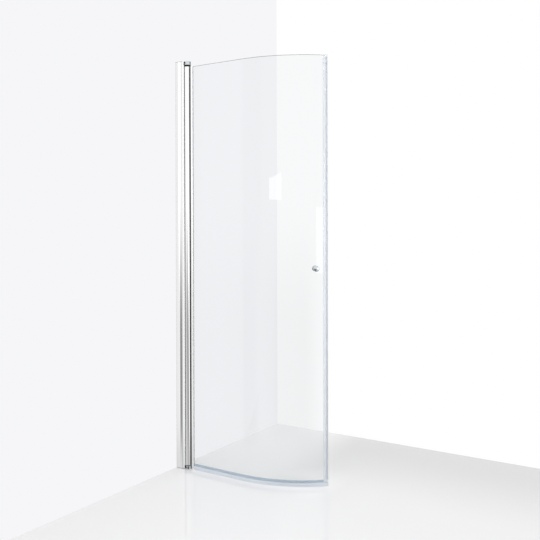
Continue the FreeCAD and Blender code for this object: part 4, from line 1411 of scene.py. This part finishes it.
class SHOWERDOOR_OT_knobs(bpy.types.Operator):
    """Model the turned knobs inside and outside the glass"""

    bl_idname = "showerdoor.knobs"
    bl_label = "Knobs"

    def execute(self, context):
        size, finishes, _ = settings_of(context)
        metal = chrome(finishes)
        turn = size.curve_angle - size.turn_of(54)
        x, y = size.on_curve(turn)
        inwards = Matrix.Rotation(math.radians(turn), 3, "Z") @ Vector((0, 1, 0))
        foot = size.glass_half + 1.3
        head = size.knob_radius
        waist, flare, rounding = head - 6.0, 6.0, 3.5
        low = foot + 2.5 + 2.0 + 2.0 + flare
        edge = low + 12.5 - 1.0
        face = head - rounding
        dome = (face**2 + 1.0) / 2.0
        for name, side in (("outer_knob", -1), ("inner_knob", 1)):
            bench = Bench(name + "_turned")
            bench.turn(
                turning_plane((x, y, size.knob_height), inwards * side),
                (0, foot + 13.15),
                (3.05, foot + 13.15),
                (3.05, foot),
                (waist + 2.0 - 0.3, foot),
                (waist + 2.0, foot + 0.3),
                (waist + 2.0, foot + 2.5),
                (waist, foot + 4.5),
                (waist, foot + 6.5, -flare),
                (head - 0.4, low - 0.1, 0.4),
                (head, low + 0.4),
                (head, edge - rounding, rounding),
                (face, edge, dome),
                (0, edge + 1.0),
                step=7.0,
                steps=96,
            )
            fit(bench.close(), "leaf", "chrome", metal, name)
        return {"FINISHED"}


class SHOWERDOOR_OT_small_parts(bpy.types.Operator):
    """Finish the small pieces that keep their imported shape"""

    bl_idname = "showerdoor.small_parts"
    bl_label = "Screws, pins and washers"

    def execute(self, context):
        finishes = settings_of(context)[1]
        metal = steel(finishes.steel)
        blackened = steel(finishes.black_steel, "blackened_steel")
        clear = clear_plastic(finishes)
        black = moulded("black_bush", finishes.black_plastic, 0.6, shine=0.2)
        finish_of = {
            "adjusting_profile": aluminium(finishes),
            "thrust_washer": black,
            "top_grub_screw": blackened,
            "bottom_grub_screw": blackened,
            "outer_knob_washer": clear,
            "inner_knob_washer": clear,
            "glass_hole_sleeve": clear,
        }
        for name, node in frame["nodes"].items():
            if node.hide_render:
                continue
            material = finish_of.get(name, metal)
            if not node.data.materials:
                node.data.materials.append(material)
            for index in range(len(node.data.materials)):
                node.data.materials[index] = material
        return {"FINISHED"}


PIECES = (
    SHOWERDOOR_OT_studio,
    SHOWERDOOR_OT_wall_channel,
    SHOWERDOOR_OT_channel_caps,
    SHOWERDOOR_OT_cradle_seals,
    SHOWERDOOR_OT_pivot_brackets,
    SHOWERDOOR_OT_bushes,
    SHOWERDOOR_OT_pivot_tube,
    SHOWERDOOR_OT_gaskets,
    SHOWERDOOR_OT_glass,
    SHOWERDOOR_OT_bottom_seal,
    SHOWERDOOR_OT_edge_seal,
    SHOWERDOOR_OT_knobs,
    SHOWERDOOR_OT_small_parts,
)


class SHOWERDOOR_PT_pieces(bpy.types.Panel):
    """Sidebar panel with the sizes, the finishes and one button for each piece"""

    bl_idname = "SHOWERDOOR_PT_pieces"
    bl_label = "Shower Door"
    bl_space_type = "VIEW_3D"
    bl_region_type = "UI"
    bl_category = "Shower Door"

    def draw(self, context):
        for title, group in (
            ("Sizes", context.scene.door_sizes),
            ("Finishes", context.scene.door_finishes),
            ("Studio", context.scene.door_studio),
        ):
            box = self.layout.box()
            box.label(text=title)
            for name in group.__annotations__:
                box.prop(group, name)
        for piece in PIECES:
            self.layout.operator(piece.bl_idname)


GROUPS = {
    "door_sizes": DoorSizes,
    "door_finishes": DoorFinishes,
    "door_studio": StudioSettings,
}


def register():
    for group in GROUPS.values():
        bpy.utils.register_class(group)
    for name, group in GROUPS.items():
        setattr(bpy.types.Scene, name, bpy.props.PointerProperty(type=group))
    for piece in (*PIECES, SHOWERDOOR_PT_pieces):
        bpy.utils.register_class(piece)


def unregister():
    for piece in reversed((*PIECES, SHOWERDOOR_PT_pieces)):
        bpy.utils.unregister_class(piece)
    for name in GROUPS:
        delattr(bpy.types.Scene, name)
    for group in reversed(GROUPS.values()):
        bpy.utils.unregister_class(group)


def main():
    register()
    bpy.ops.showerdoor.studio()
    bpy.ops.showerdoor.wall_channel()
    bpy.ops.showerdoor.channel_caps()
    bpy.ops.showerdoor.cradle_seals()
    bpy.ops.showerdoor.pivot_brackets()
    bpy.ops.showerdoor.bushes()
    bpy.ops.showerdoor.pivot_tube()
    bpy.ops.showerdoor.gaskets()
    bpy.ops.showerdoor.glass()
    bpy.ops.showerdoor.bottom_seal()
    bpy.ops.showerdoor.edge_seal()
    bpy.ops.showerdoor.knobs()
    bpy.ops.showerdoor.small_parts()


if __name__ == "__main__":
    main()
